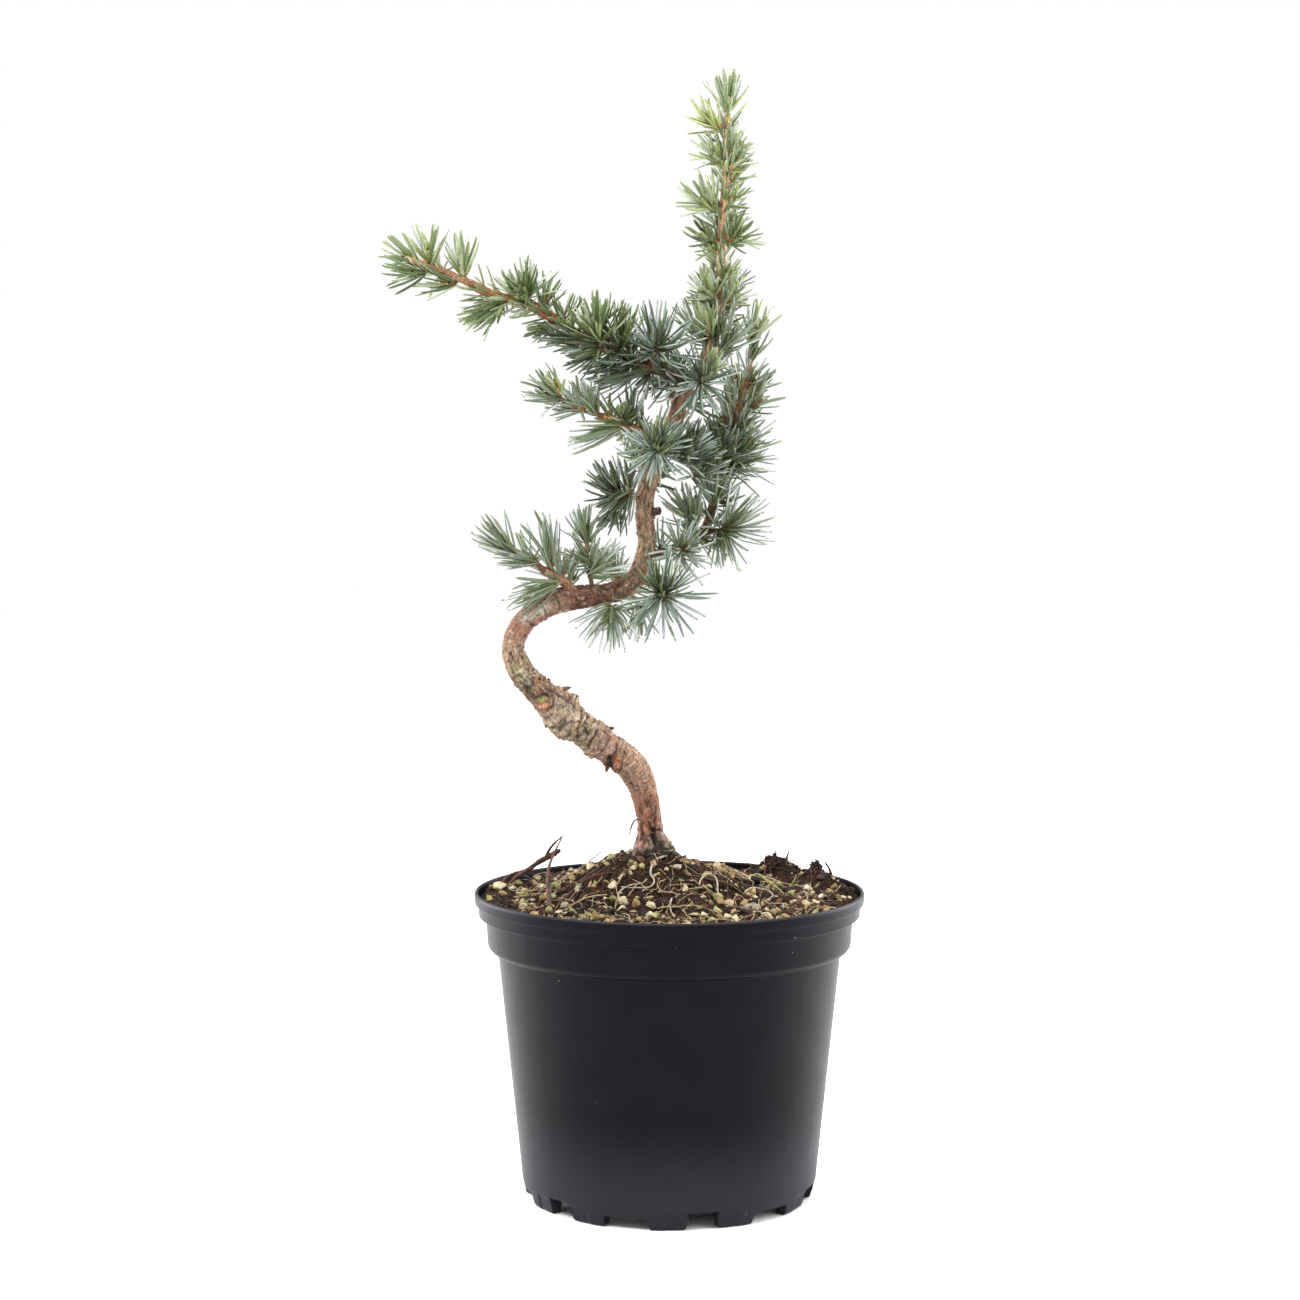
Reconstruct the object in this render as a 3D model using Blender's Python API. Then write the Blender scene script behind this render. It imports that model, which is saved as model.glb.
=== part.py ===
"""Potted cedar: a young conifer with an S-shaped trunk, in a round nursery pot.

Metres, +Z up. The origin is the centre of the pot's underside. Seen from its front, which looks
along -Y, the plant's right-hand side is +X. Names in capitals are the sizes that shape it.
"""

import math
import random
from collections import namedtuple

import bmesh
import bpy
import numpy as np
from mathutils import Vector
from mathutils.bvhtree import BVHTree

MM = 0.001
GAP = 0.3 * MM  # left between pieces that touch on the real plant
UP = Vector((0, 0, 1))

# Pot: radii are outer ones, heights are from the ground
POT_HEIGHT = 150 * MM
LIP_RADIUS = 95 * MM
LIP_BOTTOM = 144 * MM
BAND_RADIUS = 93 * MM
BAND_BOTTOM = 138 * MM
COLLAR_RADIUS = 89.4 * MM
COLLAR_FOOT_RADIUS = 88.5 * MM
COLLAR_BOTTOM = 122 * MM
WALL_TOP_RADIUS = 83.6 * MM
WALL_FOOT_RADIUS = 71.7 * MM
WALL = 1.4 * MM
FLOOR_UNDERSIDE = 6 * MM
FLOOR_TOP = 8 * MM
FOOT_OUTER = 69.0 * MM
FOOT_INNER = 64.5 * MM
PAD_RADIUS = 14 * MM
POT_SEGMENTS = 36

# Slots and gaps in the foot ring: the angle is counted from the front towards the right
SLOT_COUNT = 6
FIRST_SLOT = math.radians(12.6)
SLOT_ANGLE = math.radians(12)
SLOT_TOP = 8.6 * MM
PLAIN_GAP_ANGLE = math.radians(18)
PLAIN_GAP_TOP = 5.5 * MM

# Soil: low at the wall, with a mound that the trunk stands on
SOIL_AT_WALL = 144.5 * MM
TRUNK_FOOT = (-8 * MM, 11 * MM, 164 * MM)
SEAT_RADIUS = 12.5 * MM
SOIL_RINGS = 5
SOIL_SEGMENTS = 32
CLOD_HEIGHT = 1.6 * MM
MOUND_REACH = 68 * MM
MOUND_STEEPNESS = 1.6

# Limbs: (x, y, z, diameter) in millimetres along the centre line
TRUNK_LOWER = (
    (-8, 11, 164, 18), (-9, 12, 174, 12.8), (-10, 11, 185, 11.8), (-12, 10, 195, 13),
    (-16, 8, 207, 14), (-24, 4, 216, 13.8), (-33, 0, 222, 14.2), (-42, -4, 229, 15.5),
    (-51, -8, 236, 17.5), (-62, -12, 248, 13.6), (-71, -14, 258, 12),
)
TRUNK_MIDDLE = (
    (-75, -14, 269, 10.6), (-72, -12, 279, 10.6), (-65, -9, 286, 11), (-55, -4, 291, 11.6),
    (-41, 3, 293, 11.2), (-30, 8, 294, 10),
)
TRUNK_UPPER = (
    (-20, 11, 298, 10), (-14, 12, 306, 9.4), (-11, 11, 318, 8.8), (-12, 8, 332, 9),
    (-12, 6, 341, 8.6), (-8, 2, 353, 8), (-3, 0, 366, 8), (2, 1, 376, 8), (5, 3, 387, 7.8),
)
LEADER = (
    (9, 5, 396, 7.2), (15, 8, 405, 5.6), (21, 12, 418, 5), (24, 14, 430, 4.8), (25, 14, 444, 4.6),
    (25, 12, 461, 4.4), (26, 9, 481, 3.8), (27, 7, 497, 3.3), (27, 5, 512, 2.6), (28, 4, 525, 2.2),
)
BOUGHS = {
    "bough_left_upper": ("leader", (
        (9, 5, 396, 6), (-1, 2, 401, 5.4), (-14, 0, 405, 5), (-28, -2, 412, 4.8), (-42, -4, 418, 4.8),
        (-56, -5, 427, 4.8), (-71, -7, 435, 5), (-82, -8, 437, 4.6), (-93, -9, 442, 4.2),
    )),
    "bough_left_middle": ("trunk_upper", (
        (-3, 0, 366, 4.6), (-14, -2, 373, 4.2), (-23, -4, 377, 4), (-32, -6, 380, 3.8),
    )),
    "bough_left_lower": ("trunk_middle", (
        (-46, 0, 292, 5.5), (-50, -3, 300, 5), (-55, -5, 303, 4.6), (-60, -6, 306, 4),
    )),
    "bough_right_lower": ("trunk_upper", (
        (-11, 11, 312, 5), (-1, 15, 314, 4.8), (9, 19, 319, 4.6), (18, 22, 323, 4.4),
    )),
    "bough_right_upper": ("bough_right_lower", (
        (17, 22, 322, 4.4), (20, 24, 331, 4.4), (22, 24, 339, 4.2), (23, 24, 350, 4), (27, 23, 362, 3.8),
        (34, 21, 384, 3.6), (37, 20, 395, 3.4), (39, 19, 404, 3.2),
    )),
}
TWIG_ON_SOIL = (
    (-85, 26, 147, 1.8), (-74, 25, 154, 2.8), (-65, 24, 160, 3.4), (-58, 23, 164, 2.4), (-53, 22, 173, 1.2),
)

# Burls, lips and root lumps on the trunk: (x, y, z, height, reach) in millimetres
TRUNK_LUMPS = (
    (-2, 6, 171, 3.6, 7), (-16, 9, 167, 2.2, 6), (-9, 20, 167, 1.8, 6), (-48, -8, 244, 1.8, 5),
    (-55, -9, 227, 1.8, 5), (-61, -19, 246, 1.6, 5), (-30, 2, 209, 4.2, 4.5), (-39, -2, 216, 2.4, 4.5),
    (-33, 0, 230, 1.4, 4), (-23, 7, 202, 1.4, 5), (-55, 0, 240, 1.6, 6), (-70, -20, 262, 1.0, 5),
)
# Dead stubs of cut twigs: limb, root, tip, diameter
STUBS = (
    ("trunk_lower", (-63, -12, 250), (-61, -12, 257.5), 3.4),
    ("trunk_upper", (-12, 8, 334), (-4, 6, 334.5), 4.2),
)

# Mesh fineness
CURVE_STEP = 1.5 * MM
TRUNK_RING_STEP = 8 * MM
BOUGH_RING_STEP = 8 * MM
TWIG_RING_STEP = 6 * MM
TRUNK_SIDES = 10
LEADER_SIDES = 8
BOUGH_SIDES = 8

# Foliage: a twig ends in a bud that a tuft of needles stands out of
TWIG_RADIUS = 1.0 * MM
BUD_RADIUS = 1.5 * MM
BUD_LENGTH = 5.5 * MM
TWIG_SIDES = 5
NEEDLE_RADIUS = 1.0 * MM
NEEDLE_WIDEST = 0.4  # share of its length where a needle is widest
NEEDLE_SHARE = 0.56  # share of the tabled needles that stand out as solids
NEEDLE_SPACE = 0.35 * MM  # kept between needles of different masses
GOLDEN_ANGLE = math.radians(137.508)
TRIES = 7  # leans tried for a needle before it is skipped
LEAN_STEP = math.radians(7)
SEED = 23

# A tuft: centre of its bud in millimetres, the way it leans, needle length in millimetres, fullness
# as a number of needles, and the widest angle between a needle and the lean in degrees
Tuft = namedtuple("Tuft", "centre lean needle count spread")
AT_TIP = "tip"
AT_SIDE = "side"

# Each mass of foliage: the limb it grows on, where, and its tufts from the root outwards
MASSES = {
    "tuft_leader_tip": ("leader", AT_TIP, (
        Tuft((28, 4, 530), (0.05, -0.1, 1), 16, 18, 55),
    )),
    "tuft_leader_left_top": ("leader", AT_SIDE, (
        Tuft((21, 0, 519), (-0.75, -0.3, 0.55), 16, 16, 55),
    )),
    "tuft_leader_right_top": ("leader", AT_SIDE, (
        Tuft((31, 1, 508), (0.6, -0.4, 0.7), 13, 12, 60),
        Tuft((31, 4, 495), (0.7, 0.1, 0.7), 13, 8, 45),
    )),
    "tuft_leader_left_whorl": ("leader", AT_SIDE, (
        Tuft((22, 1, 504), (-0.75, -0.3, 0.5), 15, 12, 60),
    )),
    "tuft_leader_left_middle": ("leader", AT_SIDE, (
        Tuft((18, 3, 482), (-0.7, -0.3, 0.6), 17, 18, 62),
    )),
    "tuft_leader_right_middle": ("leader", AT_SIDE, (
        Tuft((31, 5, 466), (0.6, -0.5, 0.6), 16, 20, 75),
    )),
    "tuft_leader_left_low": ("leader", AT_SIDE, (
        Tuft((19, 8, 465), (-0.75, -0.2, 0.5), 14, 14, 62),
    )),
    "tuft_leader_shaft_left": ("leader", AT_SIDE, (
        Tuft((20, 8, 440), (-0.4, -0.5, 0.8), 14, 14, 60),
    )),
    "tuft_leader_shaft_right": ("leader", AT_SIDE, (
        Tuft((29, 9, 438), (0.45, -0.4, 0.8), 14, 12, 55),
    )),
    "tuft_leader_low_left": ("leader", AT_SIDE, (
        Tuft((19, 5, 423), (-0.25, -0.4, 0.9), 14, 13, 60),
        Tuft((15, 11, 419), (-0.7, 0.2, 0.75), 22, 12, 45),
    )),
    "tuft_leader_low_right": ("leader", AT_SIDE, (
        Tuft((26, 7, 414), (0.55, -0.2, 0.75), 25, 18, 50),
    )),
    "tuft_fork_front": ("leader", AT_SIDE, (
        Tuft((15, -8, 397), (0.05, -0.9, 0.25), 20, 24, 90),
        Tuft((20, -9, 403), (0.3, -0.5, 0.8), 11, 9, 45),
    )),
    "tuft_leader_back_high": ("leader", AT_SIDE, (
        Tuft((26, 26, 472), (-0.1, 0.8, 0.5), 16, 14, 72),
    )),
    "tuft_leader_back_low": ("leader", AT_SIDE, (
        Tuft((22, 34, 434), (-0.4, 0.7, 0.4), 17, 14, 70),
        Tuft((29, 46, 444), (0.4, 0.75, 0.5), 16, 14, 70),
    )),
    "tuft_left_upper_tip": ("bough_left_upper", AT_TIP, (
        Tuft((-99, -10, 447), (-0.05, -0.25, 1), 16, 15, 55),
        Tuft((-105, -12, 443), (-0.95, -0.3, -0.12), 20, 10, 28),
        Tuft((-110, 1, 450), (-0.3, 0.9, 0.3), 16, 12, 65),
        Tuft((-116, -10, 453), (-0.1, -0.1, 1), 16, 15, 55),
        Tuft((-119, -14, 448), (-0.95, -0.35, -0.12), 19, 12, 35),
        Tuft((-124, -10, 455), (-0.95, -0.1, 0.25), 14, 10, 42),
    )),
    "tuft_left_upper_low": ("bough_left_upper", AT_SIDE, (
        Tuft((-83, -11, 432), (-0.85, -0.3, -0.4), 19, 18, 48),
    )),
    "tuft_left_upper_top": ("bough_left_upper", AT_SIDE, (
        Tuft((-68, -11, 440), (-0.1, -0.5, 0.9), 17, 18, 68),
        Tuft((-72, 3, 441), (-0.1, 0.9, 0.4), 16, 12, 70),
    )),
    "tuft_left_upper_under": ("bough_left_upper", AT_SIDE, (
        Tuft((-36, -9, 411), (-0.9, -0.35, -0.3), 20, 14, 38),
        Tuft((-47, -10, 417), (-0.95, -0.25, -0.05), 19, 12, 28),
    )),
    "tuft_left_upper_crest": ("bough_left_upper", AT_SIDE, (
        Tuft((-34, -9, 420), (-0.25, -0.45, 0.85), 21, 22, 60),
        Tuft((-38, 6, 421), (-0.1, 0.8, 0.5), 18, 14, 70),
    )),
    "tuft_left_upper_front": ("bough_left_upper", AT_SIDE, (
        Tuft((-6, -10, 413), (0, -0.45, 0.9), 22, 26, 80),
    )),
    "tuft_left_upper_hang": ("bough_left_upper", AT_SIDE, (
        Tuft((-15, -7, 402), (-0.9, -0.25, -0.22), 27, 14, 26),
    )),
    "tuft_left_middle_tip": ("bough_left_middle", AT_TIP, (
        Tuft((-37, -8, 384), (-0.5, -0.3, 0.8), 18, 14, 50),
        Tuft((-44, 3, 386), (-0.2, 0.9, 0.3), 16, 12, 65),
        Tuft((-44, -9, 384), (-0.97, -0.1, -0.02), 16, 8, 22),
        Tuft((-55, -12, 390), (-0.9, -0.2, 0.3), 17, 16, 48),
        Tuft((-54, -15, 394), (-0.4, -0.3, 0.85), 9, 6, 30),
    )),
    "tuft_left_middle_under": ("bough_left_middle", AT_SIDE, (
        Tuft((-27, -9, 374), (-0.92, -0.2, -0.3), 24, 12, 26),
    )),
    "tuft_left_middle_root": ("bough_left_middle", AT_SIDE, (
        Tuft((-19, -7, 380), (-0.05, -0.2, 1), 16, 10, 40),
    )),
    "tuft_trunk_front": ("trunk_upper", AT_SIDE, (
        Tuft((-6, -14, 365), (0, -0.95, 0.1), 22, 28, 95),
    )),
    "tuft_trunk_right": ("trunk_upper", AT_SIDE, (
        Tuft((5, -5, 362), (0.95, -0.25, 0.12), 21, 18, 62),
    )),
    "tuft_trunk_left": ("trunk_upper", AT_SIDE, (
        Tuft((-22, -5, 340), (-0.65, -0.3, -0.7), 20, 12, 35),
        Tuft((-27, -4, 345), (-0.75, -0.3, 0.55), 18, 16, 52),
    )),
    "tuft_trunk_back_high": ("trunk_upper", AT_SIDE, (
        Tuft((9, 27, 388), (0.5, 0.75, 0.1), 18, 14, 70),
        Tuft((-3, 43, 397), (-0.4, 0.8, 0.5), 17, 15, 72),
    )),
    "tuft_trunk_back_low": ("trunk_upper", AT_SIDE, (
        Tuft((-9, 28, 353), (0.4, 0.8, -0.2), 17, 13, 65),
        Tuft((-16, 46, 361), (-0.4, 0.85, 0.4), 18, 15, 72),
    )),
    "tuft_right_front": ("bough_right_lower", AT_SIDE, (
        Tuft((6, 7, 316), (0.25, -0.85, 0.25), 19, 22, 92),
    )),
    "tuft_right_inner": ("bough_right_lower", AT_SIDE, (
        Tuft((11, 15, 331), (-0.5, -0.35, 0.75), 20, 18, 60),
    )),
    "tuft_right_end": ("bough_right_lower", AT_TIP, (
        Tuft((25, 18, 322), (0.2, -0.4, -0.85), 18, 8, 35),
        Tuft((29, 19, 326), (0.75, -0.55, 0.25), 23, 24, 75),
    )),
    "tuft_right_tall": ("bough_right_upper", AT_SIDE, (
        Tuft((22, 16, 341), (0.05, -0.35, 0.95), 22, 20, 50),
    )),
    "tuft_right_dark": ("bough_right_upper", AT_SIDE, (
        Tuft((21, 17, 357), (-0.15, -0.3, 0.95), 21, 18, 38),
    )),
    "tuft_right_side": ("bough_right_upper", AT_SIDE, (
        Tuft((31, 22, 356), (0.95, -0.3, 0.15), 18, 18, 58),
    )),
    "tuft_right_upper_side": ("bough_right_upper", AT_SIDE, (
        Tuft((36, 19, 376), (0.8, -0.35, 0.45), 13, 12, 50),
    )),
    "tuft_right_upper_inner": ("bough_right_upper", AT_SIDE, (
        Tuft((30, 15, 388), (-0.35, -0.4, 0.85), 14, 10, 50),
    )),
    "tuft_right_upper_edge": ("bough_right_upper", AT_SIDE, (
        Tuft((42, 18, 393), (0.75, -0.2, 0.6), 14, 10, 42),
    )),
    "tuft_right_tip": ("bough_right_upper", AT_TIP, (
        Tuft((41, 18, 410), (0.45, -0.3, 0.85), 14, 10, 45),
        Tuft((41, 18, 419), (0.3, -0.2, 1), 15, 14, 45),
    )),
    "tuft_right_back": ("bough_right_upper", AT_SIDE, (
        Tuft((27, 44, 363), (0.1, 0.95, 0.2), 18, 20, 78),
        Tuft((36, 40, 392), (0.3, 0.9, 0.4), 15, 14, 72),
    )),
    "tuft_left_lower_tip": ("bough_left_lower", AT_TIP, (
        Tuft((-67, -9, 311), (-0.95, -0.25, 0.05), 18, 12, 30),
        Tuft((-69, 6, 311), (-0.3, 0.9, 0.3), 17, 12, 70),
        Tuft((-78, -10, 317), (-0.85, -0.2, 0.5), 20, 20, 42),
    )),
    "tuft_left_lower_top": ("bough_left_lower", AT_SIDE, (
        Tuft((-57, -8, 311), (-0.25, -0.25, 1), 25, 14, 32),
    )),
    "tuft_left_lower_low": ("bough_left_lower", AT_SIDE, (
        Tuft((-57, -11, 299), (-0.88, -0.3, -0.35), 25, 18, 34),
    )),
    "tuft_upright": ("trunk_middle", AT_SIDE, (
        Tuft((-37, -1, 306), (0.75, -0.3, 0.55), 21, 14, 60),
        Tuft((-39, -1, 310), (-0.75, -0.2, 0.45), 19, 13, 60),
        Tuft((-40, -2, 323), (-0.15, -0.3, 1), 16, 18, 60),
    )),
    "tuft_low_front": ("trunk_middle", AT_SIDE, (
        Tuft((-28, -4, 286), (-0.05, -0.45, -0.9), 21, 22, 72),
        Tuft((-14, 0, 287), (0, -0.3, -0.95), 18, 8, 40),
    )),
    "tuft_low_right": ("trunk_upper", AT_SIDE, (
        Tuft((-3, -13, 295), (0.1, -0.85, -0.1), 25, 30, 92),
    )),
    "tuft_bend_back": ("trunk_upper", AT_SIDE, (
        Tuft((-19, 34, 295), (0.5, 0.75, -0.1), 18, 14, 68),
        Tuft((-31, 50, 303), (-0.5, 0.8, 0.4), 19, 16, 74),
    )),
}


# A limb as built: its curve, the distances along it where the solid starts and ends, and the added
# height of its lumps
Limb = namedtuple("Limb", "curve start end swell")


class Curve:
    """A smooth centre line through control points, with a radius and a direction all along it."""

    def __init__(self, controls):
        controls = np.array(controls, float) * MM
        chord = np.linalg.norm(np.diff(controls[:, :3], axis=0), axis=1)
        at = np.concatenate([[0], np.cumsum(chord)])
        slopes = np.gradient(controls, at, axis=0)
        wanted = np.linspace(0, at[-1], max(4, round(at[-1] / CURVE_STEP)))
        piece = np.clip(np.searchsorted(at, wanted, side="right") - 1, 0, len(chord) - 1)
        span = chord[piece][:, None]
        u = ((wanted - at[piece]) / chord[piece])[:, None]
        rows = (
            (2 * u**3 - 3 * u**2 + 1) * controls[piece]
            + (u**3 - 2 * u**2 + u) * span * slopes[piece]
            + (3 * u**2 - 2 * u**3) * controls[piece + 1]
            + (u**3 - u**2) * span * slopes[piece + 1]
        )
        self.points = rows[:, :3]
        self.radii = rows[:, 3] / 2
        steps = np.linalg.norm(np.diff(self.points, axis=0), axis=1)
        self.along = np.concatenate([[0], np.cumsum(steps)])
        self.length = self.along[-1]
        tangents = np.gradient(self.points, self.along, axis=0)
        self.tangents = tangents / np.linalg.norm(tangents, axis=1)[:, None]

    def at(self, distance):
        """Point, direction and radius at a distance along the curve."""
        point = Vector([np.interp(distance, self.along, self.points[:, k]) for k in range(3)])
        tangent = Vector([np.interp(distance, self.along, self.tangents[:, k]) for k in range(3)])
        return point, tangent.normalized(), float(np.interp(distance, self.along, self.radii))

    def nearest(self, place):
        """Distance along the curve of its point that lies nearest to a place."""
        return self.along[np.argmin(np.linalg.norm(self.points - np.array(place), axis=1))]

    def cut(self, start, end):
        """Stations about CURVE_STEP apart between two distances."""
        inside = (self.along > start + CURVE_STEP / 4) & (self.along < end - CURVE_STEP / 4)
        stops = [start, *self.along[inside], end]
        return [self.at(stop) for stop in stops]


class Taken:
    """The space that limbs, twigs and needles fill, as straight segments with a radius at each end."""

    def __init__(self):
        self.rows = []
        self.owners = []
        self.names = []

    def add(self, owner, start, end, radius_start, radius_end):
        self.rows.append((*start, *end, radius_start, radius_end))
        self.owners.append(owner)

    def freeze(self):
        self.table = np.array(self.rows)
        self.names = np.array(self.owners)

    def is_clear(self, owner, start, end, radius_start, radius_end):
        """Whether a new segment of one owner keeps its distance from every other owner's."""
        if len(self.names) != len(self.owners):
            self.freeze()
        others = self.table[self.names != owner]
        first, second = others[:, :3], others[:, 3:6]
        start, end = np.array(start), np.array(end)
        mine, theirs = closest_shares(start, end, first, second)
        spots = start + mine[:, None] * (end - start)
        other_spots = first + theirs[:, None] * (second - first)
        apart = np.linalg.norm(spots - other_spots, axis=1)
        own_radius = radius_start + mine * (radius_end - radius_start)
        other_radius = others[:, 6] + theirs * (others[:, 7] - others[:, 6])
        return bool((apart - own_radius - other_radius > NEEDLE_SPACE).all())


def closest_shares(start, end, firsts, seconds):
    """Where one segment and each of many others come closest, as shares along both."""
    own = end - start
    theirs = seconds - firsts
    between = start - firsts
    own_square = own @ own
    their_square = np.einsum("ij,ij->i", theirs, theirs) + 1e-18
    cross = theirs @ own
    own_part = between @ own
    their_part = np.einsum("ij,ij->i", theirs, between)
    spread = own_square * their_square - cross**2
    mine = np.clip((cross * their_part - own_part * their_square) / np.maximum(spread, 1e-18), 0, 1)
    other = np.clip((cross * mine + their_part) / their_square, 0, 1)
    mine = np.clip((cross * other - own_part) / own_square, 0, 1)
    return mine, other


# Materials

COLOURS = {
    "pot_black": ((0.012, 0.012, 0.013), 0.55),
    "soil_brown": ((0.035, 0.022, 0.014), 0.95),
    "bark_brown": ((0.20, 0.125, 0.075), 0.85),
    "needle_blue_green": ((0.14, 0.24, 0.13), 0.6),
}


def material(name):
    """The plain material of that name, made once."""
    if name in bpy.data.materials:
        return bpy.data.materials[name]
    colour, roughness = COLOURS[name]
    made = bpy.data.materials.new(name)
    made.use_nodes = True
    shader = made.node_tree.nodes["Principled BSDF"]
    shader.inputs["Base Color"].default_value = (*colour, 1)
    shader.inputs["Roughness"].default_value = roughness
    shader.inputs["Metallic"].default_value = 0
    return made


# Mesh helpers


def add_object(name, mesh_data, material_name):
    """A mesh built with bmesh becomes a named object in the scene."""
    bmesh.ops.recalc_face_normals(mesh_data, faces=mesh_data.faces)
    mesh = bpy.data.meshes.new(name)
    mesh_data.to_mesh(mesh)
    mesh_data.free()
    mesh.materials.append(material(material_name))
    made = bpy.data.objects.new(name, mesh)
    bpy.context.scene.collection.objects.link(made)
    return made


def revolve(name, profile, segments, material_name):
    """A closed solid turned from a half section of (radius, height) points."""
    mesh = bmesh.new()
    rings = []
    for radius, height in profile:
        if radius == 0:
            rings.append([mesh.verts.new((0, 0, height))] * segments)
            continue
        ring = []
        for k in range(segments):
            angle = 2 * math.pi * k / segments
            ring.append(mesh.verts.new((radius * math.cos(angle), radius * math.sin(angle), height)))
        rings.append(ring)
    for low, high in zip(rings, rings[1:]):
        join_rings(mesh, low, high)
    return add_object(name, mesh, material_name)


def join_rings(mesh, low, high):
    """Faces between two rings of as many corners, where either ring may be one point."""
    count = len(low)
    for k in range(count):
        corners = [low[k], low[(k + 1) % count], high[(k + 1) % count], high[k]]
        mesh.faces.new(list(dict.fromkeys(corners)))


def no_swell(corner, outward):
    """The added height of lumps where there are none."""
    return 0


def sweep(name, stations, sides, material_name, swell=no_swell):
    """A closed tube through (point, direction, radius) stations, with a flat cap at both ends.

    swell takes a corner's place and its outward direction and returns its added height.
    """
    mesh = bmesh.new()
    side = stations[0][1].orthogonal().normalized()
    rings = []
    for point, direction, radius in stations:
        side = (side - direction * side.dot(direction)).normalized()
        across = direction.cross(side)
        ring = []
        for k in range(sides):
            angle = 2 * math.pi * k / sides
            outward = side * math.cos(angle) + across * math.sin(angle)
            corner = point + outward * radius
            ring.append(mesh.verts.new(corner + outward * swell(corner, outward)))
        rings.append(ring)
    for low, high in zip(rings, rings[1:]):
        join_rings(mesh, low, high)
    mesh.faces.new(rings[0])
    mesh.faces.new(rings[-1])
    return add_object(name, mesh, material_name)


def needle_solid(name, root, tip, radius):
    """A slim three-sided needle, pointed at both ends, that is sunk in its bud by the root."""
    mesh = bmesh.new()
    direction = (tip - root).normalized()
    side = direction.orthogonal().normalized()
    across = direction.cross(side)
    middle = root.lerp(tip, NEEDLE_WIDEST)
    ring = []
    for k in range(3):
        angle = 2 * math.pi * k / 3
        ring.append(mesh.verts.new(middle + (side * math.cos(angle) + across * math.sin(angle)) * radius))
    for end in (root, tip):
        join_rings(mesh, ring, [mesh.verts.new(end)] * 3)
    return add_object(name, mesh, "needle_blue_green")


def is_whole(mesh):
    """Whether every edge of a mesh has its two faces."""
    test = bmesh.new()
    test.from_mesh(mesh)
    whole = len(test.faces) > 0 and all(len(edge.link_faces) == 2 for edge in test.edges)
    test.free()
    return whole


def combine(base, others, operation):
    """One Boolean over a collection of the other objects, applied, with those objects removed."""
    group = bpy.data.collections.new(base.name + "_pieces")
    for piece in others:
        group.objects.link(piece)
    modifier = base.modifiers.new("combine", "BOOLEAN")
    modifier.operation = operation
    modifier.operand_type = "COLLECTION"
    modifier.collection = group
    for solver in ("EXACT", "MANIFOLD"):
        modifier.solver = solver
        mesh = bpy.data.meshes.new_from_object(base.evaluated_get(bpy.context.evaluated_depsgraph_get()))
        if is_whole(mesh):
            break
    base.modifiers.clear()
    base.data = mesh
    keep_largest(mesh)
    for piece in others:
        bpy.data.objects.remove(piece)
    bpy.data.collections.remove(group)
    return base


def keep_largest(mesh):
    """Drops loose scraps: only the connected piece with the most faces stays."""
    work = bmesh.new()
    work.from_mesh(mesh)
    bmesh.ops.triangulate(work, faces=work.faces)
    unseen = set(work.faces)
    pieces = []
    while unseen:
        stack = [unseen.pop()]
        piece = []
        while stack:
            face = stack.pop()
            piece.append(face)
            for edge in face.edges:
                for neighbour in edge.link_faces:
                    if neighbour in unseen:
                        unseen.remove(neighbour)
                        stack.append(neighbour)
        pieces.append(piece)
    pieces.sort(key=len)
    scraps = [face for piece in pieces[:-1] for face in piece]
    bmesh.ops.delete(work, geom=scraps, context="FACES")
    work.to_mesh(mesh)
    work.free()


# Pot


def pot_inner_profile(inset):
    """The inside of the pot from the floor to the lip, drawn in by an inset."""
    side = WALL + inset
    return [
        (WALL_FOOT_RADIUS - side, FLOOR_TOP + inset),
        (WALL_TOP_RADIUS - side, COLLAR_BOTTOM),
        (COLLAR_FOOT_RADIUS - side - 0.6 * MM, COLLAR_BOTTOM + 2.6 * MM),
        (COLLAR_RADIUS - side, BAND_BOTTOM),
        (BAND_RADIUS - side, BAND_BOTTOM + 1.2 * MM),
    ]


def make_pot():
    """Nursery pot: floor with a central pad, foot ring, tapering wall, collar, band and lip."""
    profile = [
        (0, 0),
        (PAD_RADIUS, 0),
        (PAD_RADIUS, FLOOR_UNDERSIDE),
        (FOOT_INNER, FLOOR_UNDERSIDE),
        (FOOT_INNER, 0),
        (FOOT_OUTER, 0),
        (FOOT_OUTER + 1.3 * MM, 1.3 * MM),
        (WALL_FOOT_RADIUS, FLOOR_UNDERSIDE),
        (WALL_TOP_RADIUS, COLLAR_BOTTOM - 0.8 * MM),
        (COLLAR_FOOT_RADIUS - 1.6 * MM, COLLAR_BOTTOM),
        (COLLAR_FOOT_RADIUS, COLLAR_BOTTOM + 2 * MM),
        (COLLAR_RADIUS, BAND_BOTTOM),
        (BAND_RADIUS, BAND_BOTTOM + 0.4 * MM),
        (BAND_RADIUS, LIP_BOTTOM),
        (LIP_RADIUS, LIP_BOTTOM + 0.4 * MM),
        (LIP_RADIUS, POT_HEIGHT - 0.7 * MM),
        (LIP_RADIUS - 0.7 * MM, POT_HEIGHT),
        (LIP_RADIUS - WALL, POT_HEIGHT),
        (LIP_RADIUS - WALL, LIP_BOTTOM + 1.4 * MM),
        (BAND_RADIUS - WALL, LIP_BOTTOM + 0.8 * MM),
        *reversed(pot_inner_profile(0)),
        (0, FLOOR_TOP),
    ]
    pot = revolve("pot", profile, POT_SEGMENTS, "pot_black")
    cutters = []
    for k in range(SLOT_COUNT):
        angle = FIRST_SLOT + 2 * math.pi * k / SLOT_COUNT
        cutters.append(foot_cutter(f"slot_{k}", angle, SLOT_ANGLE, SLOT_TOP))
        middle = angle + math.pi / SLOT_COUNT
        cutters.append(foot_cutter(f"plain_gap_{k}", middle, PLAIN_GAP_ANGLE, PLAIN_GAP_TOP))
    return combine(pot, cutters, "DIFFERENCE")


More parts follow.
